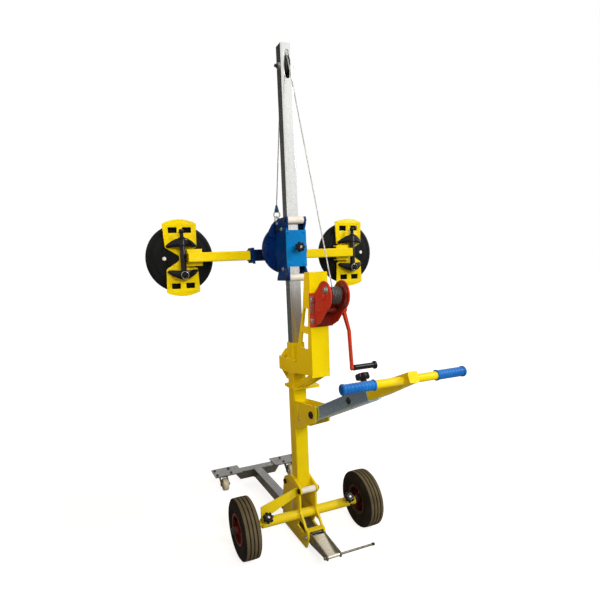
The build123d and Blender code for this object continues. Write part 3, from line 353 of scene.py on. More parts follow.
def makeGrain():   # fine moulded texture with a slow cloud, for rubber and plastic
    tree, given = openGroup("mouldGrain", Fine=900.0, Slow=18.0)
    pits = addNode(tree, "TexVoronoi", Vector=placeOn(tree), Scale=given["Fine"]).outputs["Distance"]
    fine = noiseOn(tree, given["Fine"], 3.0, 0.6)
    slow = ramp(tree, noiseOn(tree, given["Slow"], 5.0, 0.62), 0.32, 0.70)
    return closeGroup(tree, Tone=slow, Height=maths(tree, "MULTIPLY_ADD", pits, 0.6, fine))


def makeAxisReach():   # grows with the distance from an axis along X
    tree, given = openGroup("axisReach", Y=0.0, Z=0.0, From=0.0, To=1.0)
    place = axesOf(tree, placeOn(tree))
    away = {key: maths(tree, "SUBTRACT", place[key], given[key]) for key in ("Y", "Z")}
    reach = vectorMaths(tree, "LENGTH", addNode(tree, "CombineXYZ", **away).outputs[0])
    return closeGroup(tree, Mask=ramp(tree, reach, given["From"], given["To"]))


def makeSpanMask():   # grows from plane to plane, across X or along Y, or away from a level
    tree, given = openGroup("spanMask", Across=0.0, Middle=0.0, Along=0.0, From=0.0, To=1.0,
                            Level=0.0, Half=10.0)
    place = axesOf(tree, placeOn(tree))
    aside = maths(tree, "ABSOLUTE", maths(tree, "SUBTRACT", place["X"], given["Middle"]))
    along = maths(tree, "MULTIPLY", place["Y"], given["Along"])
    reach = maths(tree, "MULTIPLY_ADD", aside, given["Across"], along)
    rise = maths(tree, "ABSOLUTE", maths(tree, "SUBTRACT", place["Z"], given["Level"]))
    beyond = maths(tree, "GREATER_THAN", rise, given["Half"])
    between = ramp(tree, reach, given["From"], given["To"])
    return closeGroup(tree, Mask=maths(tree, "MAXIMUM", between, beyond))


edgeWear = makeEdgeWear()
dustFilm = makeDustFilm()
paintSkin = makePaintSkin()
scratchMarks = makeScratches()
zincSpangle = makeZincSpangle()
mouldGrain = makeGrain()
axisReach = makeAxisReach()
spanMask = makeSpanMask()


def useGroup(tree, group, **values):
    made = tree.nodes.new("ShaderNodeGroup")
    made.node_tree = group
    for key, value in values.items():
        feed(tree, made.inputs[key], value)
    return made.outputs


# colours near an axis: worn ribs of the tyres, painted shade on the turns of rope wound on the drum
axisTints = {"tyreRubber": {"axis": wheelAxis, "span": (0.127, 0.1288), "share": 0.72,
                            "color": (0.185, 0.152, 0.084)},
             # painted shade: darker turns of rope on the drum, inside the winch
             "ropeWire": {"axis": drumAxis, "span": (0.048, 0.036), "share": 0.95,
                          "color": (0.03, 0.02, 0.016)}}


def axisTint(tree, tint, color, cloud):
    middle = spot(0, *tint["axis"])
    start, end = tint["span"]
    mask = useGroup(tree, axisReach, Y=middle.y, Z=middle.z, From=start, To=end)["Mask"]
    share = ramp(tree, cloud, 0.0, 1.0, tint["share"] * 0.6, tint["share"])
    return blendColor(tree, maths(tree, "MULTIPLY", mask, share), color, tint["color"])


bumpDepth = 0.0004


def roughen(tree, inputs, height, strength, normal):
    bump = addNode(tree, "Bump", Strength=strength, Distance=bumpDepth, Height=height, Normal=normal)
    tree.links.new(bump.outputs[0], inputs["Normal"])


paintParts = ("color", "shade", "under", "wear", "dust", "gloss", "coat")
paints = {
    "yellowPaint": ((0.84, 0.668, 0.001), (0.77, 0.582, 0.001), (0.26, 0.24, 0.21),
                    0.36, 0.2, (0.28, 0.44), 0.05),
    "bluePaintAndShade": ((0.001, 0.215, 0.58), (0.001, 0.15, 0.44), (0.26, 0.27, 0.28),
                  0.34, 0.1, (0.26, 0.42), 0.05),
    # dark navy of the turning disc and the ears: their own darker paint, made darker still as painted shade
    "navyPaintAndShade": ((0.001, 0.02, 0.115), (0.001, 0.013, 0.08), (0.26, 0.27, 0.28),
                  0.34, 0.08, (0.26, 0.42), 0.05),
    "redPaintAndShade": ((0.59, 0.046, 0.022), (0.43, 0.031, 0.015), (0.22, 0.19, 0.17),
                 0.46, 0.16, (0.3, 0.48), 0.06),
    "rimPaintAndShade": ((0.19, 0.014, 0.01), (0.115, 0.008, 0.006), (0.16, 0.14, 0.13),
                 0.3, 0.14, (0.32, 0.52), 0.04),
    "hookPaint": ((0.006, 0.1, 0.21), (0.004, 0.066, 0.15), (0.36, 0.36, 0.35),
                  0.5, 0.14, (0.28, 0.44), 0.1),
}
paints["stubPaint"] = paints["yellowPaint"]
rimLow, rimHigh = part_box("wheel_rim_right")
rimMiddle = (rimLow[0] + rimHigh[0]) / 2
coverFront = spot(0, -46.8, 0).y
# a darker second coat past a plane: painted shade on the carriage frame behind the bright cover, painted
# shade inside the winch and on the inner sides of the rims; stub axles dark grey towards the wheels
secondCoatsAndShade = {
    # painted shade: dark navy on the carriage frame behind the cover and above and below it
    "bluePaintAndShade": {"span": {"Along": 1.0, "From": coverFront, "To": coverFront + 0.0004,
                           "Level": 1.293, "Half": 0.0815},
                  "color": (0.001, 0.034, 0.19), "shade": (0.001, 0.021, 0.13)},
    # painted shade: darker red between the winch cheeks
    "redPaintAndShade": {"span": {"Across": 1.0, "Middle": 0.015, "From": 0.0335, "To": 0.0325},
                 "color": (0.23, 0.017, 0.009), "shade": (0.095, 0.009, 0.006)},
    # painted shade: dark inner sides of the rims
    "rimPaintAndShade": {"span": {"Across": 1.0, "From": rimMiddle - 0.004, "To": rimMiddle - 0.012},
                 "color": (0.034, 0.007, 0.005), "shade": (0.018, 0.004, 0.003)},
    "stubPaint": {"span": {"Across": 1.0, "From": rimMiddle - 0.022, "To": rimMiddle - 0.018},
                  "color": (0.06, 0.054, 0.048), "shade": (0.025, 0.022, 0.02)},
}


def paintFinish(name, look):
    finish, tree, inputs = newFinish(name, Coat_Roughness=0.12, Specular_IOR_Level=0.10)
    edge = useGroup(tree, edgeWear, Round=0.0012, Width=0.0032, Scale=85.0, Amount=look["wear"])
    skin = useGroup(tree, paintSkin, Scale=7.0, Peel=420.0)
    marks = useGroup(tree, scratchMarks, Scale=9.0, Amount=0.55)
    dust = useGroup(tree, dustFilm, Amount=look["dust"], Scale=26.0, Reach=0.32)
    coat = blendColor(tree, skin["Tone"], look["shade"], look["color"])
    # darker second coat past a plane: painted shade, except on the stub axles
    if name in secondCoatsAndShade:
        second = secondCoatsAndShade[name]
        mask = useGroup(tree, spanMask, **second["span"])["Mask"]
        other = blendColor(tree, skin["Tone"], second["shade"], second["color"])
        coat = blendColor(tree, mask, coat, other)
    pale = tuple(0.35 + 0.65 * part for part in look["color"])
    scuffed = blendColor(tree, marks["Mask"], coat, pale)
    bare = blendColor(tree, edge["Mask"], scuffed, look["under"])
    feed(tree, inputs["Base Color"], blendColor(tree, dust["Mask"], bare, (0.42, 0.38, 0.31)))
    rough = ramp(tree, skin["Tone"], 0.0, 1.0, look["gloss"][1], look["gloss"][0])
    matt = maths(tree, "MULTIPLY_ADD", dust["Mask"], 0.5, rough)
    feed(tree, inputs["Roughness"], maths(tree, "MULTIPLY_ADD", edge["Mask"], 0.15, matt))
    feed(tree, inputs["Metallic"], maths(tree, "MULTIPLY", edge["Mask"], 0.7))
    spoilt = maths(tree, "ADD", dust["Mask"], edge["Mask"])
    feed(tree, inputs["Coat Weight"], ramp(tree, spoilt, 0.0, 0.6, look["coat"], 0.0))
    height = maths(tree, "SUBTRACT", maths(tree, "MULTIPLY", skin["Height"], 0.4), edge["Mask"])
    roughen(tree, inputs, height, 0.22, edge["Normal"])
    return finish


steelParts = ("dark", "pale", "gloss", "spangle", "dust", "metal", "streak", "bump")
steels = {
    "galvanised": ((0.135, 0.134, 0.128), (0.235, 0.233, 0.224), (0.24, 0.36), 110, 0.2, 0.88, 0.2, 0.05),
    "mastSteel": ((0.66, 0.67, 0.65), (0.8, 0.81, 0.785), (0.15, 0.18), 150, 0.08, 0.95, 0.3, 0.015),
    "drawbarSteel": ((0.44, 0.62, 0.82), (0.55, 0.75, 0.95), (0.22, 0.25), 130, 0.1, 0.92, 0.2, 0.015),
    "pedalSteel": ((0.58, 0.53, 0.42), (0.76, 0.71, 0.58), (0.28, 0.4), 180, 0.16, 0.85, 0.2, 0.03),
    "leverSteel": ((0.1, 0.092, 0.068), (0.27, 0.25, 0.19), (0.3, 0.46), 160, 0.2, 0.8, 0.3, 0.06),
    "zincPlate": ((0.36, 0.355, 0.33), (0.64, 0.63, 0.6), (0.2, 0.36), 260, 0.18, 0.92, 0.15, 0.06),
    "ropeWire": ((0.36, 0.36, 0.355), (0.58, 0.58, 0.57), (0.26, 0.42), 600, 0.1, 0.55, 0.1, 0.08),
    "blackBolt": ((0.006, 0.006, 0.006), (0.028, 0.027, 0.026), (0.34, 0.55), 300, 0.18, 0.4, 0.1, 0.1),
    "wornSteel": ((0.035, 0.034, 0.032), (0.17, 0.165, 0.155), (0.28, 0.5), 320, 0.3, 0.7, 0.3, 0.1),
}


def steelFinish(name, look):
    finish, tree, inputs = newFinish(name)
    edge = useGroup(tree, edgeWear, Round=0.0010, Width=0.0022, Scale=140.0, Amount=0.7)
    zinc = useGroup(tree, zincSpangle, Scale=look["spangle"])
    marks = useGroup(tree, scratchMarks, Scale=10.0, Amount=0.6)
    dust = useGroup(tree, dustFilm, Amount=look["dust"], Scale=30.0, Reach=0.28)
    tone = maths(tree, "MULTIPLY_ADD", zinc["Streak"], -look["streak"], zinc["Tone"])
    grey = blendColor(tree, ramp(tree, tone, 0.05, 0.75), look["dark"], look["pale"])
    rubbed = maths(tree, "MAXIMUM", marks["Mask"], maths(tree, "MULTIPLY", edge["Mask"], 0.6))
    bright = blendColor(tree, rubbed, grey, look["pale"])
    if name in axisTints:
        bright = axisTint(tree, axisTints[name], bright, zinc["Tone"])
    feed(tree, inputs["Base Color"], blendColor(tree, dust["Mask"], bright, (0.36, 0.33, 0.28)))
    rough = ramp(tree, zinc["Tone"], 0.2, 0.8, look["gloss"][1], look["gloss"][0])
    feed(tree, inputs["Roughness"], maths(tree, "MULTIPLY_ADD", dust["Mask"], 0.4, rough))
    feed(tree, inputs["Metallic"], ramp(tree, dust["Mask"], 0.0, 0.8, look["metal"], 0.1))
    height = maths(tree, "SUBTRACT", zinc["Height"], marks["Mask"])
    roughen(tree, inputs, height, look["bump"], edge["Normal"])
    return finish


mouldParts = ("color", "pale", "gloss", "fine", "dust", "dustColor", "bump", "reach", "shine")
mouldings = {
    "tyreRubber": ((0.008, 0.008, 0.007), (0.026, 0.023, 0.019), (0.58, 0.82), 700,
                   0.12, (0.12, 0.1, 0.066), 0.22, 0.3, 0.05),
    "cupRubber": ((0.003, 0.004, 0.004), (0.009, 0.01, 0.011), (0.36, 0.58), 800,
                  0.14, (0.16, 0.155, 0.15), 0.12, 0.3, 0.1),
    "blackPlastic": ((0.002, 0.002, 0.002), (0.007, 0.007, 0.007), (0.18, 0.34), 1100,
                     0.1, (0.1, 0.095, 0.085), 0.08, 0.25, 0.2),
    "pumpGloss": ((0.004, 0.004, 0.004), (0.01, 0.01, 0.01), (0.08, 0.18), 1300,
                  0.06, (0.1, 0.095, 0.085), 0.03, 0.25, 0.2),
    "whiteNylon": ((0.72, 0.7, 0.63), (0.84, 0.83, 0.77), (0.34, 0.5), 900,
                   0.25, (0.4, 0.37, 0.3), 0.08, 0.25, 0.2),
    "creamWheel": ((0.6, 0.54, 0.37), (0.72, 0.67, 0.5), (0.4, 0.6), 800,
                   0.75, (0.25, 0.22, 0.16), 0.1, 0.12, 0.2),
    "blueGrip": ((0.003, 0.098, 0.39), (0.01, 0.18, 0.57), (0.26, 0.44), 900,
                 0.2, (0.3, 0.32, 0.34), 0.16, 0.25, 0.2),
    "whiteButton": ((0.8, 0.8, 0.78), (0.9, 0.9, 0.88), (0.18, 0.3), 1200,
                    0.12, (0.4, 0.38, 0.34), 0.04, 0.25, 0.2),
}


def mouldFinish(name, look):
    finish, tree, inputs = newFinish(name, Specular_IOR_Level=look["shine"])
    edge = useGroup(tree, edgeWear, Round=0.0014, Width=0.0030, Scale=120.0, Amount=0.55)
    grain = useGroup(tree, mouldGrain, Fine=look["fine"], Slow=16.0)
    marks = useGroup(tree, scratchMarks, Scale=14.0, Amount=0.35)
    dust = useGroup(tree, dustFilm, Amount=look["dust"], Scale=34.0, Reach=look["reach"])
    body = blendColor(tree, grain["Tone"], look["color"], look["pale"])
    worn = maths(tree, "MAXIMUM", marks["Mask"], maths(tree, "MULTIPLY", edge["Mask"], 0.5))
    rubbed = blendColor(tree, worn, body, look["pale"])
    if name in axisTints:
        rubbed = axisTint(tree, axisTints[name], rubbed, grain["Tone"])
    feed(tree, inputs["Base Color"], blendColor(tree, dust["Mask"], rubbed, look["dustColor"]))
    rough = ramp(tree, grain["Tone"], 0.0, 1.0, *look["gloss"])
    feed(tree, inputs["Roughness"], maths(tree, "MULTIPLY_ADD", dust["Mask"], 0.35, rough))
    roughen(tree, inputs, grain["Height"], look["bump"], edge["Normal"])
    return finish


finishes = {}
for table, parts, makeFinish in ((paints, paintParts, paintFinish), (steels, steelParts, steelFinish),
                                 (mouldings, mouldParts, mouldFinish)):
    for name, values in table.items():
        finishes[name] = makeFinish(name, dict(zip(parts, values)))

slotFinish = {"yellow_paint": "yellowPaint", "blue_paint": "bluePaintAndShade", "red_paint": "redPaintAndShade",
              "rim_paint": "rimPaintAndShade", "hook_paint": "hookPaint", "galvanised": "galvanised",
              "zinc": "zincPlate", "rope_steel": "ropeWire", "tyre_rubber": "tyreRubber",
              "cup_rubber": "cupRubber", "black_plastic": "blackPlastic", "white_nylon": "whiteNylon",
              "cream_wheel": "creamWheel", "grip_rubber": "blueGrip", "button_chrome": "whiteButton"}
finishSlot = {finish: slot for slot, finish in slotFinish.items()}
finishSlot.update({"pumpGloss": "black_plastic", "blackBolt": "zinc", "wornSteel": "zinc",
                   "pedalSteel": "zinc", "mastSteel": "galvanised", "drawbarSteel": "galvanised",
                   "leverSteel": "zinc"})
nodeFinish = {"mount_bolts": "blackBolt", "roller_bolts": "blackBolt", "top_pulley": "blackBolt",
              "mast": "mastSteel", "drawbar_tube": "drawbarSteel", "turning_head": "navyPaintAndShade",
              "crank_grip": "pumpGloss", "caster_fork_right": "wornSteel", "caster_fork_left": "wornSteel",
              "stub_axle_right": "stubPaint", "stub_axle_left": "stubPaint"}


def dressNodes():
    for row in frame["record"]["subparts"]:
        held = nodes[row["node"]]
        finish = finishes[nodeFinish.get(row["node"], slotFinish[row["material_slot"]])]
        if not held.material_slots:
            held.data.materials.append(finish)
        for slot in held.material_slots:
            slot.material = finish


dressNodes()
print("finishes ready:", len(finishes))


# mesh helpers
def spokes(count):   # cosine and sine of even steps round a circle
    return [(math.cos(a), math.sin(a)) for a in (2 * math.pi * i / count for i in range(count))]


def bridge(bm, low, high):
    count = max(len(low), len(high))
    for i in range(count):
        j = (i + 1) % count
        if len(low) == 1:
            bm.faces.new((low[0], high[j], high[i]))
        elif len(high) == 1:
            bm.faces.new((low[i], low[j], high[0]))
        else:
            bm.faces.new((low[i], low[j], high[j], high[i]))


def skinOver(bm, rings, closed=False, capped=False):
    following = rings[1:] + rings[:1] if closed else rings[1:]
    for low, high in zip(rings, following):
        bridge(bm, low, high)
    if capped:
        bm.faces.new(rings[0])
        bm.faces.new(rings[-1])


def turned(bm, place, profile, steps, closed=False, capped=False):   # (along, radius) about local Z
    around = spokes(steps)
    rings = []
    for along, radius in profile:
        corners = around if radius else [(0, 0)]
        points = [Vector((radius * c, radius * s, along)) * mm for c, s in corners]
        rings.append([bm.verts.new(place @ point) for point in points])
    skinOver(bm, rings, closed, capped)


def ovalSection(radius, out, rise, steps):   # profile of a ring with an oval section
    return [(rise * s, radius + out * c) for c, s in spokes(steps)]


def framesAlong(points):   # point, side and lift vectors that turn as little as they can
    held = []
    side = None
    for i, point in enumerate(points):
        ahead = (points[min(i + 1, len(points) - 1)] - points[max(i - 1, 0)]).normalized()
        if side is None:
            side = ahead.orthogonal()
        side = (side - ahead * side.dot(ahead)).normalized()
        held.append((point, side.copy(), ahead.cross(side)))
    return held


def tubeAlong(bm, points, radii, count):
    around = spokes(count)
    rings = []
    for (point, side, lift), radius in zip(framesAlong(points), radii):
        rings.append([bm.verts.new(point + (side * c + lift * s) * radius * mm) for c, s in around])
    skinOver(bm, rings, capped=True)


def evenSteps(points, step):   # the same line, divided into equal lengths
    lengths = [0.0]
    for a, b in zip(points, points[1:]):
        lengths.append(lengths[-1] + (b - a).length)
    count = max(2, round(lengths[-1] / (step * mm)))
    made = []
    k = 0
    for i in range(count + 1):
        want = lengths[-1] * i / count
        while k < len(points) - 2 and lengths[k + 1] < want:
            k += 1
        share = (want - lengths[k]) / max(lengths[k + 1] - lengths[k], 1e-9)
        made.append(points[k].lerp(points[k + 1], share))
    return made


def addSpline(data, kind, points):
    spline = data.splines.new(kind)
    spline.points.add(len(points) - 1)
    for made, point in zip(spline.points, points):
        made.co = (*point, 1)
    return spline


def curveMesh(data):   # the mesh that a curve gives; the curve itself goes
    held = bpy.data.objects.new(data.name, data)
    scene.collection.objects.link(held)
    bpy.context.view_layer.update()
    mesh = bpy.data.meshes.new_from_object(held)
    bpy.data.objects.remove(held)
    bpy.data.curves.remove(data)
    return mesh


def addSheet(bm, loops, thick, edge, stand):   # flat sheet with holes and bevelled edges
    data = bpy.data.curves.new("sheet", "CURVE")
    data.dimensions = "2D"
    data.fill_mode = "BOTH"
    data.extrude = (thick / 2 - edge) * mm
    data.bevel_depth = edge * mm
    data.bevel_resolution = 1
    data.offset = -edge * mm
    for loop in loops:
        addSpline(data, "POLY", [point.to_3d() * mm for point in loop]).use_cyclic_u = True
    mesh = curveMesh(data)
    mesh.transform(stand)
    bm.from_mesh(mesh)
    bpy.data.meshes.remove(mesh)
    bmesh.ops.remove_doubles(bm, verts=bm.verts[:], dist=1e-6)


def sideSheet(bm, loops, x, edge):   # sheet drawn in (y, z), standing between two planes across X
    low, high = sorted(x)
    middle = spot((low + high) / 2, 0, 0)
    stand = Matrix(((0, 0, 1, middle.x), (1, 0, 0, middle.y), (0, 1, 0, middle.z), (0, 0, 0, 1)))
    addSheet(bm, loops, high - low, edge, stand)


def roundedLoop(corners, steps=6):   # closed line through (x, z, radius) corners
    made = []
    for i, (x, z, radius) in enumerate(corners):
        here = Vector((x, z))
        if not radius:
            made.append(here)
            continue
        back = (Vector(corners[i - 1][:2]) - here).normalized()
        ahead = (Vector(corners[(i + 1) % len(corners)][:2]) - here).normalized()
        reach = radius / math.tan(back.angle(ahead) / 2)
        for share in (k / steps for k in range(steps + 1)):
            made.append(here + back * reach * (1 - share) ** 2 + ahead * reach * share ** 2)
    return made


def circleLoop(y, z, radius, steps=28):
    return [Vector((y + radius * c, z + radius * s)) for c, s in spokes(steps)]


def plateBlock(bm, low, high, edge):   # bevelled plate between two corners, thin along Y
    (x0, y0, z0), (x1, y1, z1) = low, high
    rings = []
    for y, inset in ((y1, 0), (y0 + edge, 0), (y0, edge)):
        left, right, foot, top = x0 + inset, x1 - inset, z0 + inset, z1 - inset
        corners = ((left, foot), (right, foot), (right, top), (left, top))
        rings.append([bm.verts.new(spot(x, y, z)) for x, z in corners])
    skinOver(bm, rings, capped=True)


# heads as shares of height and radius
headLook = {"washer": ((0, 0), (0, 1), (0.8, 1), (1, 0.96), (1, 0)),
            "pan": ((0, 0), (0, 1), (0.35, 1), (0.75, 0.86), (1, 0.5), (1, 0.28), (0.5, 0.26), (0.5, 0)),
            "cap": ((0, 0), (0, 1), (0.5, 1), (0.72, 0.93), (0.88, 0.74), (0.97, 0.42), (1, 0)),
            "steps": {"washer": 28, "pan": 20, "cap": 28}, "washerThick": 1.6,
            "hexFoot": (0.4, 0.97), "hexTop": (0.86, 0.88)}


def roundHead(bm, place, radius, height, kind):
    profile = [(along * height, share * radius) for along, share in headLook[kind]]
    turned(bm, place, profile, headLook["steps"][kind])


def hexHead(bm, place, radius, height, washer=0):
    base = 0
    if washer:
        base = headLook["washerThick"]
        roundHead(bm, place, washer, base, "washer")
    footRise, footShare = headLook["hexFoot"]
    topRise, topShare = headLook["hexTop"]
    rise = ((0, footShare), (footRise, 1), (height * topRise, 1), (height, topShare))
    turned(bm, place, [(base + along, radius * share) for along, share in rise], 6, capped=True)


# edges that bend more than this stay sharp, in degrees
crispAngle = {"tread": 28, "sheet": 30, "head": 35, "turned": 40, "soft": 60, "rope": 70}


def finishPiece(name, bm, finish, body, kind="head", replaces=()):
    bmesh.ops.recalc_face_normals(bm, faces=bm.faces[:])
    mesh = bpy.data.meshes.new(name)
    bm.to_mesh(mesh)
    bm.free()
    mesh.shade_smooth()
    mesh.set_sharp_from_angle(angle=math.radians(crispAngle[kind]))
    mesh.materials.append(finishes[finish])
    piece = bpy.data.objects.new(name, mesh)
    scene.collection.objects.link(piece)
    if body:
        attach(piece, body)
    if replaces:
        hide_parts(*replaces)
    return piece


# shapes hold place, profile, steps and True for a closed section; heads hold function, place and sizes
def turnedPiece(name, shapes, finish, body, kind="turned", replaces=()):
    bm = bmesh.new()
    for shape in shapes:
        turned(bm, *shape)
    return finishPiece(name, bm, finish, body, kind, replaces)


def headPiece(name, heads, finish, body, kind="head"):
    bm = bmesh.new()
    for addHead, place, sizes in heads:
        addHead(bm, place, *sizes)
    return finishPiece(name, bm, finish, body, kind)


# tyres: four ribs, bulged walls with moulded rings
tyreLook = {"hub": (wheelX, *wheelAxis), "radius": 130, "half": 40, "bead": 63.2, "beadHalf": 30,
            "treadHalf": 31, "crown": 1.2, "groove": 16, "grooveHalf": 2.5, "grooveDepth": 4.3,
            "lipDrop": 0.6, "lipOut": 0.7, "grooveFoot": 0.75, "shoulder": 3, "edgeDrop": 0.2, "beadRise": 9,
            "rings": ((0.12, 0.6), (0.55, 0.5), (0.64, 0.5), (0.9, 0.9)),
            "ringWidth": 0.022, "ringRoom": 0.6, "steps": 160, "wallSteps": 22}


def tyreProfile(look):
    edge, top, half, far = (look[key] for key in ("treadHalf", "radius", "grooveHalf", "groove"))
    bottom = top - look["grooveDepth"]

    def crown(x):
        return top - look["crown"] * (x / edge) ** 2

    def lip(middle, way, level):   # from the bottom of a groove up to the tread
        rise = ((half * look["grooveFoot"], bottom), (half, level - look["lipDrop"]),
                (half + look["lipOut"], level))
        return [(middle + way * aside, height) for aside, height in rise]

    inner = edge - look["shoulder"]
    right = [(0, bottom)] + lip(0, 1, crown(half))
    right += lip(far, -1, crown(far))[::-1] + lip(far, 1, crown(far))
    right += [(inner, crown(inner)), (edge, crown(edge) - look["edgeDrop"])]
    wallTop, wallLow = crown(edge), look["bead"] + look["beadRise"]
    bulge = look["half"] - (edge + look["beadHalf"]) / 2 - look["ringRoom"]
    for i in range(1, look["wallSteps"] + 1):
        share = i / look["wallSteps"]
        aside = edge + (look["beadHalf"] - edge) * share + bulge * 4 * share * (1 - share)
        for ring, height in look["rings"]:
            aside += height * math.exp(-((share - ring) / look["ringWidth"]) ** 2)
        right.append((aside, wallTop + (wallLow - wallTop) * share))
    right.append((look["beadHalf"], look["bead"]))
    return [(-x, r) for x, r in reversed(right)] + right[1:]


def buildTyre(side, sign, look):
    x, y, z = look["hub"]
    shape = (standAt(sign * x, y, z) @ acrossX, tyreProfile(look), look["steps"], True)
    turnedPiece("tyreBody_" + side, [shape], "tyreRubber", "wheel_" + side, "tread", ["tyre_" + side])


# wheel fittings: rim bolts, valve, axle nut
fittingLook = {"hub": (wheelX, *wheelAxis), "bolts": 4, "circle": 24, "headZ": 3, "head": (4.8, 4.2, 6.2),
               "nutZ": -4, "nut": (4.8, 5, 6.2), "valveTurn": 65.89, "valveAt": (52, 0, 12.5),
               "valveLean": -14, "valve": ((-2, 0), (-2, 6.2), (2, 6.2), (4.5, 4.6), (11, 3.8), (11, 4.7),
                                            (12.4, 5), (19, 4.6), (20, 3.6), (20, 0)),
               "endX": 337.5, "washer": ((0.1, 10.2), (0.1, 18.2), (3, 18.2), (3.4, 17.6), (3.4, 0)),
               "axleNutZ": 3.4, "axleNut": (13.4, 9), "valveSteps": 20, "washerSteps": 32, "threadSteps": 24,
               "thread": ((12.2, 0), (12.2, 7.8), (15, 7.8), (16, 6.8), (16, 0))}


def buildFittings(side, sign, look):
    x, y, z = look["hub"]
    outward = turn(90 * sign, "Y")
    hub = standAt(sign * x, y, z) @ outward
    heads = []
    for i in range(look["bolts"]):
        place = hub @ turn(360 * (i + 0.5) / look["bolts"], "Z") @ shift(look["circle"], 0, 0)
        heads.append((hexHead, place @ shift(0, 0, look["headZ"]), look["head"]))
        heads.append((hexHead, place @ shift(0, 0, look["nutZ"]) @ turn(180, "X"), look["nut"]))
    headPiece("rimBolts_" + side, heads, "wornSteel", "wheel_" + side)
    stem = hub @ turn(look["valveTurn"], "Z") @ shift(*look["valveAt"]) @ turn(look["valveLean"], "Y")
    valve = (stem, look["valve"], look["valveSteps"])
    turnedPiece("valveStem_" + side, [valve], "blackPlastic", "wheel_" + side, "head")
    end = standAt(sign * look["endX"], y, z) @ outward
    heads = [(turned, end, (look["washer"], look["washerSteps"])),
             (hexHead, end @ shift(0, 0, look["axleNutZ"]), look["axleNut"]),
             (turned, end, (look["thread"], look["threadSteps"]))]
    headPiece("axleNut_" + side, heads, "blackBolt", "axle_" + side)


for side, sign in sides:
    buildTyre(side, sign, tyreLook)
for side, sign in sides:
    buildFittings(side, sign, fittingLook)
print("wheels ready")

# hand knobs: seven lobes, crowned top, metal insert; shares of the knob's radius and height
knobLook = {"lobes": 7, "core": 0.74, "lobe": 0.26, "web": 0.02, "around": 112,
            "rise": ((0, 0.8), (0.05, 0.93), (0.16, 0.99), (0.45, 1), (0.74, 0.99), (0.9, 0.94), (0.97, 0.86),
                     (1, 0.76)),
            "top": ((1.015, 0.6), (1.02, 0.46), (1, 0.36), (0.96, 0.32)),
            "neck": ((-9, 0.4), (-7, 0.42), (-1, 0.44), (0.5, 0.55)), "neckLow": -9, "neckSteps": 32,
            "insert": ((0, 0), (0, 1), (1.6, 1), (2.2, 0.86), (2.2, 0.55), (0.5, 0.5), (0.5, 0)),
            "insertRadius": 0.24, "seat": 0.955, "stud": 4.9, "studTop": -8.5, "studBevel": 0.8,
            "studTip": 0.8, "insertSteps": 28, "studSteps": 24}
axleKnob = {"at": (198, *wheelAxis), "lean": 45, "out": 50, "size": (24, 22, 34.4)}
# the other knobs: place, radius, height, length of the stud, body and node
knobs = {"drawbarKnob": (barFrame @ shift(0, barKnobY, 52), 24, 22, 30.6, "drawbar_clamp", "drawbar_knob"),
         "carriageKnob": (standAt(-2, -78, 1296) @ rearward, 21, 20, 52.6, "carriage_clamp", "carriage_knob")}


def lobeReach(look, angle):
    share = 2 * math.pi / look["lobes"]
    off = (angle + share / 2) % share - share / 2
    inside = look["lobe"] ** 2 - (look["core"] * math.sin(off)) ** 2
    reach = look["core"] * math.cos(off) + math.sqrt(inside) if inside > 0 else 0
    return max(reach, look["core"] + look["web"])


def handKnob(name, place, radius, height, length, body, node, look):
    stud, count = look["stud"], look["around"]
    lobed = [lobeReach(look, 2 * math.pi * i / count) for i in range(count)]
    bm = bmesh.new()
    neck = [(look["neckLow"], stud)] + [(along, share * radius) for along, share in look["neck"]]
    turned(bm, place, neck, look["neckSteps"])
    rings = []
    for rows, reaches in ((look["rise"], lobed), (look["top"], [1] * count)):
        for rise, scale in rows:
            points = [Vector((reach * scale * radius * c, reach * scale * radius * s, rise * height)) * mm
                      for reach, (c, s) in zip(reaches, spokes(count))]
            rings.append([bm.verts.new(place @ point) for point in points])
    skinOver(bm, rings, capped=True)
    finishPiece(name, bm, "pumpGloss", body, "turned", [node])
    wide = look["insertRadius"] * radius
    insert = [(look["seat"] * height + along, wide * share) for along, share in look["insert"]]
    top, bevel = look["studTop"], look["studBevel"]
    shaft = ((-length, 0), (-length, stud * look["studTip"]), (bevel - length, stud), (top, stud), (top, 0))
    shapes = [(place, insert, look["insertSteps"]), (place, shaft, look["studSteps"])]
    turnedPiece(name + "Stud", shapes, "zincPlate", body)


for side, sign in sides:
    x, y, z = axleKnob["at"]
    place = standAt(sign * x, y, z) @ turn(axleKnob["lean"], "X") @ shift(0, 0, axleKnob["out"])
    owner = ("axle_clamp_" + side, "axle_knob_" + side)
    handKnob("axleKnob_" + side, place, *axleKnob["size"], *owner, knobLook)
for name, knob in knobs.items():
    handKnob(name, *knob, knobLook)
print("knobs ready")

# handle grips: end flanges and rounded bands
gripLook = {"along": -614, "start": 106, "end": 207, "bore": 12.62, "radius": 14.8, "flange": 16.3,
            "waist": -0.6, "inner": ((0, -0.8), (0.8, 0), (3.6, 0), (4.6, -0.8)),
            "outer": ((-4.6, -0.8), (-3.6, 0), (1, 0), (3, -1), (4.2, -3)),
            "endFace": ((4.6, 10.5), (3.4, 9.8), (3.4, 0)), "gap": 5.2, "endGap": 5.6, "margin": 7,
            "bands": 8, "shares": (0.04, 0.1, 0.2, 0.5, 0.8, 0.9, 0.96), "groove": 1.5, "sink": 0.2,
            "swell": 0.35, "steps": 48}


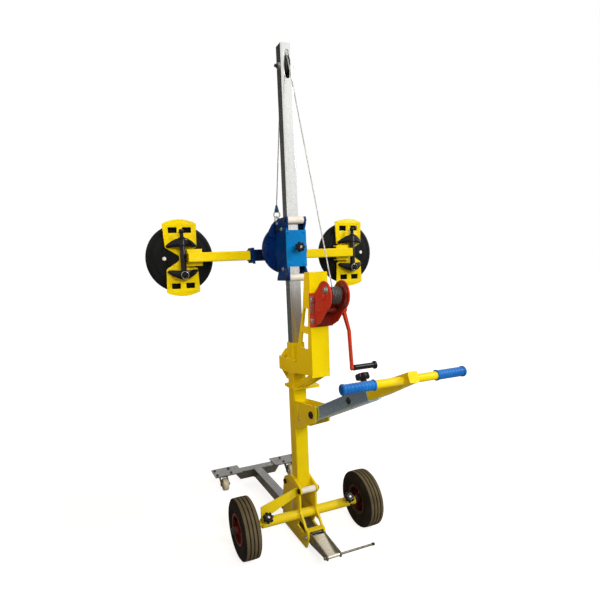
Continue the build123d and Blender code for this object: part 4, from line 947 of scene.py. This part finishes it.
def gripProfile(look):
    start, end, radius, flange = (look[key] for key in ("start", "end", "radius", "flange"))
    points = [(start, look["bore"])] + [(start + along, flange + out) for along, out in look["inner"]]
    points.append((start + look["gap"], radius + look["waist"]))
    band = (end - start - 2 * look["margin"]) / look["bands"]
    for i in range(look["bands"]):
        for share in look["shares"]:
            swell = math.sin(math.pi * share) ** look["swell"]
            along = start + look["margin"] + band * (i + share)
            points.append((along, radius - look["groove"] * (1 - swell) - look["sink"]))
    points.append((end - look["endGap"], radius + look["waist"]))
    points += [(end + along, flange + out) for along, out in look["outer"]]
    return points + [(end + along, out) for along, out in look["endFace"]]


handleMiddle = barFrame @ shift(0, gripLook["along"], 0)
grips = [(handleMiddle @ turn(90 * sign, "Y"), gripProfile(gripLook), gripLook["steps"]) for _, sign in sides]
turnedPiece("gripSleeves", grips, "blueGrip", "handle", "turned", ["handle_grips"])
print("grips ready")

# wire rope: six strands laid round the route from the drum over the pulley to the hook
ropeLook = {"strand": 0.86, "circle": 1.64, "strands": 6, "lay": 34, "step": 4.2, "sides": 5, "lead": 5,
            "drum": drumAxis, "drumPitch": 29.8, "pulley": pulleyAxis, "pulleyPitch": 37,
            "end": (147, 1480), "turns": 6, "pitch": 6, "corners": 12, "level": 0.3, "arcSteps": 5,
            "straight": 40, "parts": (0, 0.03, 0.12, 0.35, 0.65, 0.88, 0.97, 1)}


def ropeAngles(look):   # where the straight runs touch drum and pulley
    dy, dz = look["drum"][0] - look["pulley"][0], look["drum"][1] - look["pulley"][1]
    lean = math.acos((look["pulleyPitch"] - look["drumPitch"]) / math.hypot(dy, dz))
    hy, hz = look["end"][0] - look["pulley"][0], look["end"][1] - look["pulley"][1]
    front = math.atan2(hz, hy) + math.acos(look["pulleyPitch"] / math.hypot(hy, hz))
    return math.atan2(dz, dy) - lean + 2 * math.pi, front


def roundPoint(centre, radius, angle, x=0):
    return spot(x, centre[0] + radius * math.cos(angle), centre[1] + radius * math.sin(angle))


def ropeRoute(look):   # corner points of the line, as the spline's control points
    rear, front = ropeAngles(look)
    drum, drumPitch = look["drum"], look["drumPitch"]
    pulley, pulleyPitch = look["pulley"], look["pulleyPitch"]
    half = math.pi / look["corners"]
    start = rear + 2 * math.pi * look["turns"]
    first = roundPoint(drum, drumPitch, start, look["turns"] * look["pitch"])
    points = [first - Vector((0, math.sin(start), -math.cos(start))) * look["lead"] * mm]
    for k in range(look["turns"] * look["corners"]):
        left = look["turns"] - (k + 0.5) / look["corners"]   # turns still to come
        aside = left * look["pitch"] if left > look["level"] else 0
        points.append(roundPoint(drum, drumPitch / math.cos(half), rear + 2 * math.pi * left, aside))
    leave = roundPoint(drum, drumPitch, rear)
    meet = roundPoint(pulley, pulleyPitch, rear)
    way = (meet - leave).normalized() * mm
    arcHalf = (rear - front) / look["arcSteps"] / 2
    points += [leave + way * drumPitch * math.tan(half), leave + way * look["straight"],
               meet - way * look["straight"], meet - way * pulleyPitch * math.tan(arcHalf)]
    for k in range(look["arcSteps"]):
        points.append(roundPoint(pulley, pulleyPitch / math.cos(arcHalf), rear - arcHalf * (2 * k + 1)))
    return points + [roundPoint(pulley, pulleyPitch, front)]


def splineLine(points):   # the smooth line that the control points give
    data = bpy.data.curves.new("ropeLine", "CURVE")
    data.dimensions = "3D"
    data.resolution_u = 6
    spline = addSpline(data, "NURBS", points)
    spline.order_u = 3   # touches the sides between its corners
    spline.use_endpoint_u = True
    mesh = curveMesh(data)
    line = [vertex.co.copy() for vertex in mesh.vertices]
    bpy.data.meshes.remove(mesh)
    return line


def layStrands(bm, line, look, offset=0.0):
    path = framesAlong(evenSteps(line, look["step"]))
    travel = [offset]
    for (a, _, _), (b, _, _) in zip(path, path[1:]):
        travel.append(travel[-1] + (b - a).length)
    for strand in range(look["strands"]):
        points = []
        for (point, side, lift), gone in zip(path, travel):
            angle = 2 * math.pi * (gone / (look["lay"] * mm) + strand / look["strands"])
            points.append(point + (side * math.cos(angle) + lift * math.sin(angle)) * look["circle"] * mm)
        tubeAlong(bm, points, [look["strand"]] * len(points), look["sides"])
    return travel[-1]


def buildRope(look):
    bm = bmesh.new()
    length = layStrands(bm, splineLine(ropeRoute(look)), look)
    finishPiece("ropeStrands", bm, "ropeWire", "frame", "rope", ["rope_run"])
    top = roundPoint(look["pulley"], look["pulleyPitch"], ropeAngles(look)[1])
    low = spot(0, *look["end"])
    for number, (start, end) in enumerate(zip(look["parts"], look["parts"][1:]), 1):
        bm = bmesh.new()
        length = layStrands(bm, [top.lerp(low, start), top.lerp(low, end)], look, length)
        piece = finishPiece("liftRope" + str(number), bm, "ropeWire", None, "rope", ["rope_lift"])
        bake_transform(piece)


buildRope(ropeLook)
print("rope ready")

# welds: rippled beads along the seams
weldLook = {"radius": 2.4, "step": 2.6, "ripple": 0.18, "waves": (2.1, 0.37), "sides": 7, "ringSteps": 48}


def upright(x, y, low, high):
    return [(x, y, low), (x, y, high)]


def squareLine(half, z):
    return [(x * half, y * half, z) for x, y in ((1, 1), (-1, 1), (-1, -1), (1, -1), (1, 1))]


def ringLine(place, radius):   # a ring about the matrix's local Z
    around = spokes(weldLook["ringSteps"])
    return [place @ (Vector((radius * c, radius * s, 0)) * mm) for c, s in around + around[:1]]


def addWelds(name, finish, body, lines=(), pairs=(), rings=()):   # pairs lie on both sides
    seams = [[spot(*point) for point in line] for line in lines]
    for sign in (1, -1):
        seams += [[spot(sign * x, y, z) for x, y, z in line] for line in pairs]
    seams += [ringLine(*ring) for ring in rings]
    fast, slow = weldLook["waves"]
    bm = bmesh.new()
    for seam in seams:
        line = evenSteps(seam, weldLook["step"])
        ripple = [math.sin(i * fast) * math.cos(i * slow) for i in range(len(line))]
        radii = [weldLook["radius"] * (1 + weldLook["ripple"] * rise) for rise in ripple]
        tubeAlong(bm, line, radii, weldLook["sides"])
    finishPiece(name, bm, finish, body, "soft")


seamLook = {
    # column flange, brace, drawbar bracket, winch stand, axle tube
    "frameWelds": {"finish": "yellowPaint", "body": "frame",
                   "lines": [squareLine(30.6, 698.8), squareLine(30.6, 711.2),
                             upright(-43.8, -48.6, 220, 254), upright(-43.8, -41.4, 220, 254),
                             [(-200, -48.6, 151), (-214, -48.6, 151)]],
                   "pairs": [upright(31.5, -29.4, 532, 644), [(30.8, -28, 765.8), (30.8, 28, 765.8)],
                             [(30.8, -28, 827.2), (30.8, 28, 827.2)], upright(4.6, 30.6, 717, 869)],
                   "rings": [(standAt(sign * 43.8, *wheelAxis) @ acrossX, 21.5) for _, sign in sides]},
    # base beam against the cross tube, end plates on it
    "baseWelds": {"finish": "galvanised", "body": "frame",
                  "lines": [[(25.6, 604.4, 86.4), (25.6, 604.4, 37), (-25.6, 604.4, 37),
                             (-25.6, 604.4, 86.4)]],
                  "pairs": [[(101, y, 87.4), (141, y, 87.4)] for y in (604.4, 655.6)]},
    "headWelds": {"finish": "bluePaintAndShade", "body": "head",
                  "pairs": [upright(x, 81, 1221, 1363) for x in (49.4, 58.6)],
                  "rings": [(standAt(0, 81, 1296) @ rearward, 40.5)]},
    "carriageWelds": {"finish": "bluePaintAndShade", "body": "carriage", "pairs": [upright(43.3, -47.4, 1221, 1364)]},
    **{"armWelds_" + side: {"finish": "yellowPaint", "body": "arm_" + side + "_body",
                            "lines": [[(sign * x, 211.4, z) for x in (334, 396)] for z in (1256.6, 1297.4)]}
       for side, sign in sides},
    "handleWelds": {"finish": "yellowPaint", "body": "handle",
                    "rings": [(handleMiddle @ shift(x, 0, 0) @ acrossX, 12.9) for x in (-17, 17)]},
    "barWeld": {"finish": "drawbarSteel", "body": "drawbar",
                "rings": [(barFrame @ shift(0, barKnobY, 25.5), 11.4)]},   # boss of the knob
}
for name, seam in seamLook.items():
    addWelds(name, **seam)
print("welds ready")

# bolt heads, caps and screws; sizes are radius, height and washer
boltLook = {"spacerX": 43.1, "spacerCap": (11.6, 8.8),
            "pivotX": 33.1, "pivotCap": (15, 10),
            "padX": 43.1, "pads": ((0, 1373), (0, 1210), (46, 1400)), "padBolt": (6.2, 4.6, 8.8),
            "barAlong": -305, "barFace": 25.2, "barScrew": (7.8, 5, 12.8),
            "coverX": 34, "coverY": -51, "coverZ": (1230, 1355), "coverScrew": (5.2, 3.4),
            "footAt": (-33, -241.1), "footZ": (1012, 1092), "footBolt": (9.2, 6.6, 8.9),
            "cheekX": (-24.1, 54.1), "cheekAt": (-338, 1129), "cheekBolt": (11.2, 8, 16),
            "washerX": 25.1, "washerSteps": 32, "threadSteps": 24, "nutShare": 0.42,
            "washer": ((0, 10.4), (0, 13.2), (1.4, 13.2), (1.8, 12.6), (1.8, 10.4)),
            "nutX": ((-31.05, 12), (31.05, 5)), "nut": 8.8, "thread": 5.8, "threadEnd": 4.6,
            "threadBevel": 1.4}


def bothFaces(x, places):   # on the two faces that look away from the middle plane
    return [facingX(way * x, y, z) for y, z in places for way in (1, -1)]


def buildBolts(look):
    places = bothFaces(look["spacerX"], spacerAxes)
    caps = [(roundHead, place, (*look["spacerCap"], "cap")) for place in places]
    places = bothFaces(look["pivotX"], [barPivot])
    caps += [(roundHead, place, (*look["pivotCap"], "cap")) for place in places]
    headPiece("boltCaps", caps, "blackPlastic", "frame", "turned")
    pads = [(hexHead, place, look["padBolt"]) for place in bothFaces(look["padX"], look["pads"])]
    headPiece("padBolts", pads, "zincPlate", "carriage")
    middle = barFrame @ shift(0, look["barAlong"], 0)
    screws = [(hexHead, middle @ turn(90 * sign, "Y") @ shift(0, 0, look["barFace"]), look["barScrew"])
              for _, sign in sides]
    headPiece("drawbarScrews", screws, "blackBolt", "drawbar")
    places = [facing(sign * look["coverX"], look["coverY"], z, (0, -1, 0)) for _, sign in sides
              for z in look["coverZ"]]
    screws = [(roundHead, place, (*look["coverScrew"], "pan")) for place in places]
    headPiece("coverScrews", screws, "bluePaintAndShade", "carriage")
    bolts = [(hexHead, facing(*look["footAt"], z, (0, -1, 0)), look["footBolt"]) for z in look["footZ"]]
    bolts += [(hexHead, facingX(x, *look["cheekAt"]), look["cheekBolt"]) for x in look["cheekX"]]
    headPiece("winchBolts", bolts, "zincPlate", "frame")
    places = bothFaces(look["washerX"], [pulleyAxis])
    washers = [(place, look["washer"], look["washerSteps"]) for place in places]
    turnedPiece("pulleyWashers", washers, "zincPlate", "frame", "head")
    nuts = []
    for x, reach in look["nutX"]:
        place = facingX(x, *pulleyAxis)
        wide, tip, bevel = look["thread"], look["threadEnd"], look["threadBevel"]
        thread = ((0, 0), (0, wide), (reach - bevel, wide), (reach, tip), (reach, 0))
        nuts.append((turned, place, (thread, look["threadSteps"])))
        nuts.append((hexHead, place, (look["nut"], reach * look["nutShare"])))
    headPiece("pulleyNuts", nuts, "blackBolt", "frame")


# bright plates under the feet of the winch
winchLook = {"plates": (((-41.4, -243.4, 1040), (-25, -241, 1106)),
                        ((-41.4, -242.8, 1000), (-25, -241, 1024))),
             "edge": 0.7}


def buildWinchPlates(look):
    bm = bmesh.new()
    for low, high in look["plates"]:
        plateBlock(bm, low, high, look["edge"])
    finishPiece("winchPlates", bm, "zincPlate", "frame", "sheet")


buildBolts(boltLook)
buildWinchPlates(winchLook)
print("bolts ready")

# hand pumps: bored barrel on two bowed feet, end cap with a boss, clamp rings, plunger; rings of the cups
pumpLook = {"x": cupX, "y": 205, "low": 1201, "steps": 40,
            "barrel": ((0, 0), (0, 10.5), (1.5, 12), (161.6, 12), (163, 11), (163, 8.6), (99, 8.6), (99, 0)),
            "cap": ((-15, 0), (-15, 10), (-12.6, 14.2), (-6, 17.6), (3, 18.4), (11, 17.4), (16.8, 14.8),
                    (19.4, 12.1)),
            "boss": ((4, 15.4), (16, 15.4), (18.2, 13.6), (17, 11.6), (17.6, 6), (18, 0)), "bossZ": 1204,
            "ring": ((0, 11.9), (0, 13.6), (0.8, 14.2), (5.4, 14.2), (6.2, 13.6), (6.2, 11.9)),
            "ringsZ": (1326, 1355),
            "clip": ((14.4, 15.2), (14.9, 16.4), (16.2, 16.9), (17.5, 16.4), (18, 15.2)),
            "plunger": ((0, 0), (0, 6.8), (1, 7.9), (60.5, 7.9), (60.5, 9.6), (61.5, 10.4), (74.5, 10.4),
                        (77.6, 8.4), (78.4, 0)), "plungerLow": 1319}
footLook = {"levels": ((1343, -17), (1205, 17)), "root": 0.155, "half": 62, "heelY": 205, "toeY": 233.4,
            "thick": (20, 6.2), "deep": (7, 6.4), "sweep": 1.8, "taper": 1.7, "square": 0.6, "tip": 0.8,
            "steps": 22, "around": 20}
cupLook = {"x": cupX, "z": cupZ, "rings": ((87, 254.6), (128, 265.4)), "ringSize": (2.4, 1.7, 8),
           "faceY": 282.5, "seals": (30, 62, 94, 112, 119, 126),
           "rib": ((-0.4, -2.4), (1.2, -1.4), (1.8, 0), (1.2, 1.4), (-0.4, 2.4)),
           "filter": ((-0.4, 0), (-0.4, 14), (1.4, 14), (2.2, 13), (2.2, 9), (1.2, 8.4), (1.2, 4.6),
                      (2.4, 4.2), (2.4, 0)), "steps": 96, "filterSteps": 40}


def bowFoot(bm, x, z, rise, way, look):   # one half of a bow, deep at the barrel, with its toe on the plate
    line = []
    for i in range(look["steps"] + 1):
        out = look["root"] + (1 - look["root"]) * i / look["steps"]
        share = out ** look["taper"]
        y = look["heelY"] + (look["toeY"] - look["heelY"]) * out ** look["sweep"]
        line.append((share, spot(x + way * look["half"] * out, y, z + rise * share)))
    rings = []
    last = len(line) - 1
    for i, (share, point) in enumerate(line):
        ahead = (line[min(i + 1, last)][1] - line[max(i - 1, 0)][1]).normalized()
        if i == 0:
            ahead = Vector((way, 0, 0))
        side = ahead.cross(Vector((0, 0, 1))).normalized()
        lift = side.cross(ahead)
        thin = look["tip"] if i == last else 1
        thick, deep = (thin * (a + (b - a) * share) * mm for a, b in (look["thick"], look["deep"]))
        ring = []
        for spoke in spokes(look["around"]):
            c, s = (math.copysign(abs(part) ** look["square"], part) for part in spoke)
            ring.append(bm.verts.new(point + side * c * deep + lift * s * thick))
        rings.append(ring)
    skinOver(bm, rings, capped=True)


def buildPump(side, sign, look, foot):
    body = "arm_" + side + "_body"
    x, y, steps = sign * look["x"], look["y"], look["steps"]
    low = standAt(x, y, look["low"])
    boss = standAt(x, y, look["bossZ"]) @ rearward
    bm = bmesh.new()
    turned(bm, low, look["barrel"], steps)
    for z, rise in foot["levels"]:
        for way in (1, -1):
            bowFoot(bm, x, z, rise, way, foot)
    finishPiece("pumpBody_" + side, bm, "pumpGloss", body, "turned", ["cup_pump_" + side])
    caps = [(low, look["cap"], steps), (boss, look["boss"], steps)]
    caps += [(standAt(x, y, z), look["ring"], steps, True) for z in look["ringsZ"]]
    turnedPiece("pumpCaps_" + side, caps, "pumpGloss", body)
    turnedPiece("pumpClip_" + side, [(boss, look["clip"], steps, True)], "zincPlate", body)
    plunger = (standAt(x, y, look["plungerLow"]), look["plunger"], steps)
    turnedPiece("pumpPlunger_" + side, [plunger], "pumpGloss", "plunger_" + side,
                replaces=["cup_plunger_" + side])


def buildCup(side, sign, look):
    x = sign * look["x"]
    body = "arm_" + side + "_body"
    size, z, steps = look["ringSize"], look["z"], look["steps"]
    rings = [(standAt(x, y, z) @ rearward, ovalSection(radius, *size), steps, True)
             for radius, y in look["rings"]]
    turnedPiece("cupRings_" + side, rings, "cupRubber", body, "soft")
    face = facing(x, look["faceY"], z, (0, 1, 0))
    ribs = [[(rise, radius + out) for rise, out in look["rib"]] for radius in look["seals"]]
    turnedPiece("cupSeals_" + side, [(face, rib, steps, True) for rib in ribs], "cupRubber", body, "soft")
    turnedPiece("cupFilter_" + side, [(face, look["filter"], look["filterSteps"])], "zincPlate", body)


for side, sign in sides:
    buildPump(side, sign, pumpLook, footLook)
    buildCup(side, sign, cupLook)
print("pumps ready")

# cup plates: waisted sheet with four windows and a turned lip at each end
plateLook = {"x": cupX, "z": cupZ, "y": (240, 245), "radius": 164, "corner": (73, 6),
             "notch": ((68, 46, 9), (10, 10, 4)), "windowX": (12, 50), "windowZ": (107, 131),
             "windowRound": 3, "lip": 4, "lipY": 265, "lipBevel": 1, "lipRoot": 0.5, "edge": 0.7, "arc": 14}


def plateLoops(look):
    radius, (cornerX, cornerRound) = look["radius"], look["corner"]
    cornerZ = math.sqrt(radius ** 2 - cornerX ** 2)
    start = math.atan2(cornerZ, cornerX)
    angles = [start + (math.pi - 2 * start) * k / look["arc"] for k in range(1, look["arc"])]
    half = [(cornerX, -cornerZ, cornerRound)] + [(x, -z, r) for x, z, r in look["notch"]]
    half += list(reversed(look["notch"])) + [(cornerX, cornerZ, cornerRound)]
    half += [(radius * math.cos(a), radius * math.sin(a), 0) for a in angles]
    loops = [roundedLoop(half + [(-x, -z, r) for x, z, r in half])]
    (x0, x1), (z0, z1), r = look["windowX"], look["windowZ"], look["windowRound"]
    for across in (1, -1):
        for up in (1, -1):
            corners = [(across * x, up * z, r) for x, z in ((x0, z0), (x1, z0), (x1, z1), (x0, z1))]
            loops.append(roundedLoop(corners))
    return loops, angles


def buildPlate(side, sign, look):
    loops, angles = plateLoops(look)
    low, high = look["y"]
    x, z, outer, end, bevel = sign * look["x"], look["z"], look["radius"], look["lipY"], look["lipBevel"]
    inner, root = outer - look["lip"], high - look["lipRoot"]
    section = ((inner, root), (outer, root), (outer, end - bevel), (outer - bevel, end), (inner, end))
    bm = bmesh.new()
    addSheet(bm, loops, high - low, look["edge"], standAt(x, (low + high) / 2, z) @ rearward)
    for up in (1, -1):
        rings = []
        for a in angles:
            points = [spot(x + r * math.cos(a), y, z + up * r * math.sin(a)) for r, y in section]
            rings.append([bm.verts.new(point) for point in points])
        skinOver(bm, rings, capped=True)
    body = "arm_" + side + "_body"
    finishPiece("cupPlate_" + side, bm, "yellowPaint", body, "sheet", ["cup_plate_" + side])


for side, sign in sides:
    buildPlate(side, sign, plateLook)
print("cup plates ready")

# chassis: two plates with open tails, tail bar, sleeves on the spacers
chassisLook = {"x": (34, 43), "edge": 0.8, "round": 4,
               "outline": ((132, 8), (133, 128), (118, 172), (102, 240), (88, 258), (25, 290), (2, 290),
                           (-62, 272), (-88, 262), (-90, 244), (-70, 228), (-70, 150), (-102, 124),
                           (-123, 98), (-142, 94), (-147, 66), (-120, 8)),
               "window": ((-54, 110), (-34, 74), (-110, 66), (-119, 82), (-98, 110)),
               "slot": ((10, 124), (36, 124), (36, 200), (10, 200)),   # in the left plate only
               "holes": ((*wheelAxis, 21.1), *((*axis, 6.1) for axis in (*spacerAxes, pedalPivot))),
               "bar": ((-34.5, -138, 87.5), (34.5, -114, 94)),
               "sleeve": ((-33.2, 12.4), (-33.2, 13), (-32.4, 13.6), (32.4, 13.6), (33.2, 13), (33.2, 12.4)),
               "sleeveSteps": 36}


def buildChassis(look):
    bm = bmesh.new()
    for side, sign in sides:
        openings = ("outline", "window", "slot") if side == "left" else ("outline", "window")
        loops = [roundedLoop([(*point, look["round"]) for point in look[key]]) for key in openings]
        loops += [circleLoop(*hole) for hole in look["holes"]]
        sideSheet(bm, loops, [sign * x for x in look["x"]], look["edge"])
    plateBlock(bm, *look["bar"], look["edge"])
    finishPiece("chassisPlates", bm, "yellowPaint", "frame", "sheet", ["chassis_frame"])
    sleeves = [(standAt(0, y, z) @ acrossX, look["sleeve"], look["sleeveSteps"], True)
               for y, z in spacerAxes]
    turnedPiece("spacerSleeves", sleeves, "whiteNylon", "frame")


buildChassis(chassisLook)
print("chassis ready")

# ears of the carriage beside the turning disc
earLook = {"y": (59.5, 66.5), "edge": 0.8,
           "outline": ((-42, 1412, 2), (-48, 1411, 3), (-61, 1398, 8), (-75, 1374, 6),
                       (-78, 1350, 6), (-42, 1338, 2))}


def buildEars(look):
    low, high = look["y"]
    stand = standAt(0, (low + high) / 2, 0) @ rearward
    bm = bmesh.new()
    for _, sign in sides:
        outline = roundedLoop([(-sign * x, z, r) for x, z, r in look["outline"]])
        addSheet(bm, [outline], high - low, look["edge"], stand)
    finishPiece("headEars", bm, "navyPaintAndShade", "carriage", "sheet")


buildEars(earLook)
print("ears ready")

# rope end: zinc shackle with its pin and ring, blue wedge
hookLook = {"y": 147, "pinZ": 1414, "bowZ": 1436, "wire": 4.2, "half": 9.5, "legLow": 6, "drop": 0.55,
            "arc": 16, "step": 1.6, "wireSides": 14, "earX": 5.6,
            "ear": ((0, 0), (0, 6.6), (0.8, 7.2), (7, 7.2), (7.8, 6.6), (7.8, 0)),
            "pinX": 13.4, "nut": (6.6, 4), "pinEnd": ((0, 0), (0, 5.6), (2.6, 5.6), (3.4, 4.6), (3.4, 0)),
            "ringZ": 1450, "ring": (14, 3.3, 3.3, 12), "wedgeZ": 1459,
            "earSteps": 28, "pinSteps": 24, "ringSteps": 56, "wedgeSteps": 36,
            "wedge": ((0, 0), (0, 8.6), (1.5, 10.4), (6, 10.6), (16, 8), (25, 5.6), (30, 4.4), (31, 3.4),
                      (31, 0))}


def buildHook(look):
    y, pinZ, half = look["y"], look["pinZ"], look["half"]
    centre, foot = look["bowZ"] - look["drop"] * half, pinZ - look["legLow"]
    angles = [math.pi * i / look["arc"] for i in range(look["arc"] + 1)]
    arch = [(half * math.cos(a), centre + half * math.sin(a)) for a in angles]
    line = [spot(x, y, z) for x, z in [(half, foot)] + arch + [(-half, foot)]]
    points = evenSteps(line, look["step"])
    bm = bmesh.new()
    tubeAlong(bm, points, [look["wire"]] * len(points), look["wireSides"])
    for way in (1, -1):
        turned(bm, facingX(way * look["earX"], y, pinZ), look["ear"], look["earSteps"])
    hexHead(bm, facingX(look["pinX"], y, pinZ), *look["nut"])
    turned(bm, facingX(-look["pinX"], y, pinZ), look["pinEnd"], look["pinSteps"])
    ringPlace = standAt(0, y, look["ringZ"]) @ rearward
    turned(bm, ringPlace, ovalSection(*look["ring"]), look["ringSteps"], True)
    finishPiece("ropeShackle", bm, "zincPlate", "carriage", "turned", ["rope_hook"])
    wedge = (standAt(0, y, look["wedgeZ"]), look["wedge"], look["wedgeSteps"])
    turnedPiece("ropeWedge", [wedge], "hookPaint", "carriage")


buildHook(hookLook)
print("hook ready")

# pedal: fork with a sinking tread, cross bar with a sleeve, stop collar and rubber tip
pedalLook = {"cheeks": (27, 33.5), "edge": 0.8,
             "outline": ((16, 22, 3), (16, -22, 3), (-24, -24, 3), (-170, -13, 3), (-175, -2, 3),
                         (-170, 9, 3), (-24, 24, 8)),
             "holes": ((0, 0, 6.1), (-164, -2, 5)),
             "tread": ((-32, 17, 1.2), (-32, 21, 1.2), (-150, -6, 1.2), (-150, -10, 1.2)), "treadOver": 0.3,
             "barAt": (-292, 60), "bar": ((-44, 0), (-44, 3.6), (-43, 4.5), (189, 4.5), (189, 0)),
             "sleeve": ((-26.4, 4.4), (-26.4, 6.4), (-25.6, 7), (25.6, 7), (26.4, 6.4), (26.4, 4.4)),
             "stop": ((-43.4, 4.4), (-43.4, 6.2), (-42.4, 6.9), (-37.6, 6.9), (-36.6, 6.2), (-36.6, 4.4)),
             "tip": ((181, 4.4), (181, 5.4), (182, 6), (191.4, 6), (193.2, 4.8), (193.8, 0)), "steps": 28}


def buildPedal(look):
    bar, steps = standAt(0, *look["barAt"]) @ acrossX, look["steps"]
    pivotY, pivotZ = pedalPivot
    outline, tread, holes = ([(pivotY + y, pivotZ + z, r) for y, z, r in look[key]]
                             for key in ("outline", "tread", "holes"))
    bm = bmesh.new()
    for _, sign in sides:
        loops = [roundedLoop(outline)] + [circleLoop(*hole) for hole in holes]
        sideSheet(bm, loops, [sign * x for x in look["cheeks"]], look["edge"])
    finishPiece("pedalFork", bm, "leverSteel", "pedal", "sheet", ["pedal_lever"])
    bm = bmesh.new()
    half = look["cheeks"][0] + look["treadOver"]
    sideSheet(bm, [roundedLoop(tread)], (-half, half), look["edge"])
    turned(bm, bar, look["sleeve"], steps, True)
    finishPiece("pedalTread", bm, "pedalSteel", "pedal", "sheet")
    rod = [(bar, look["bar"], steps), (bar, look["stop"], steps, True)]
    turnedPiece("pedalRod", rod, "leverSteel", "pedal", "turned", ["pedal_bar"])
    turnedPiece("pedalTip", [(bar, look["tip"], steps)], "blackPlastic", "pedal")


buildPedal(pedalLook)
print("pedal ready")
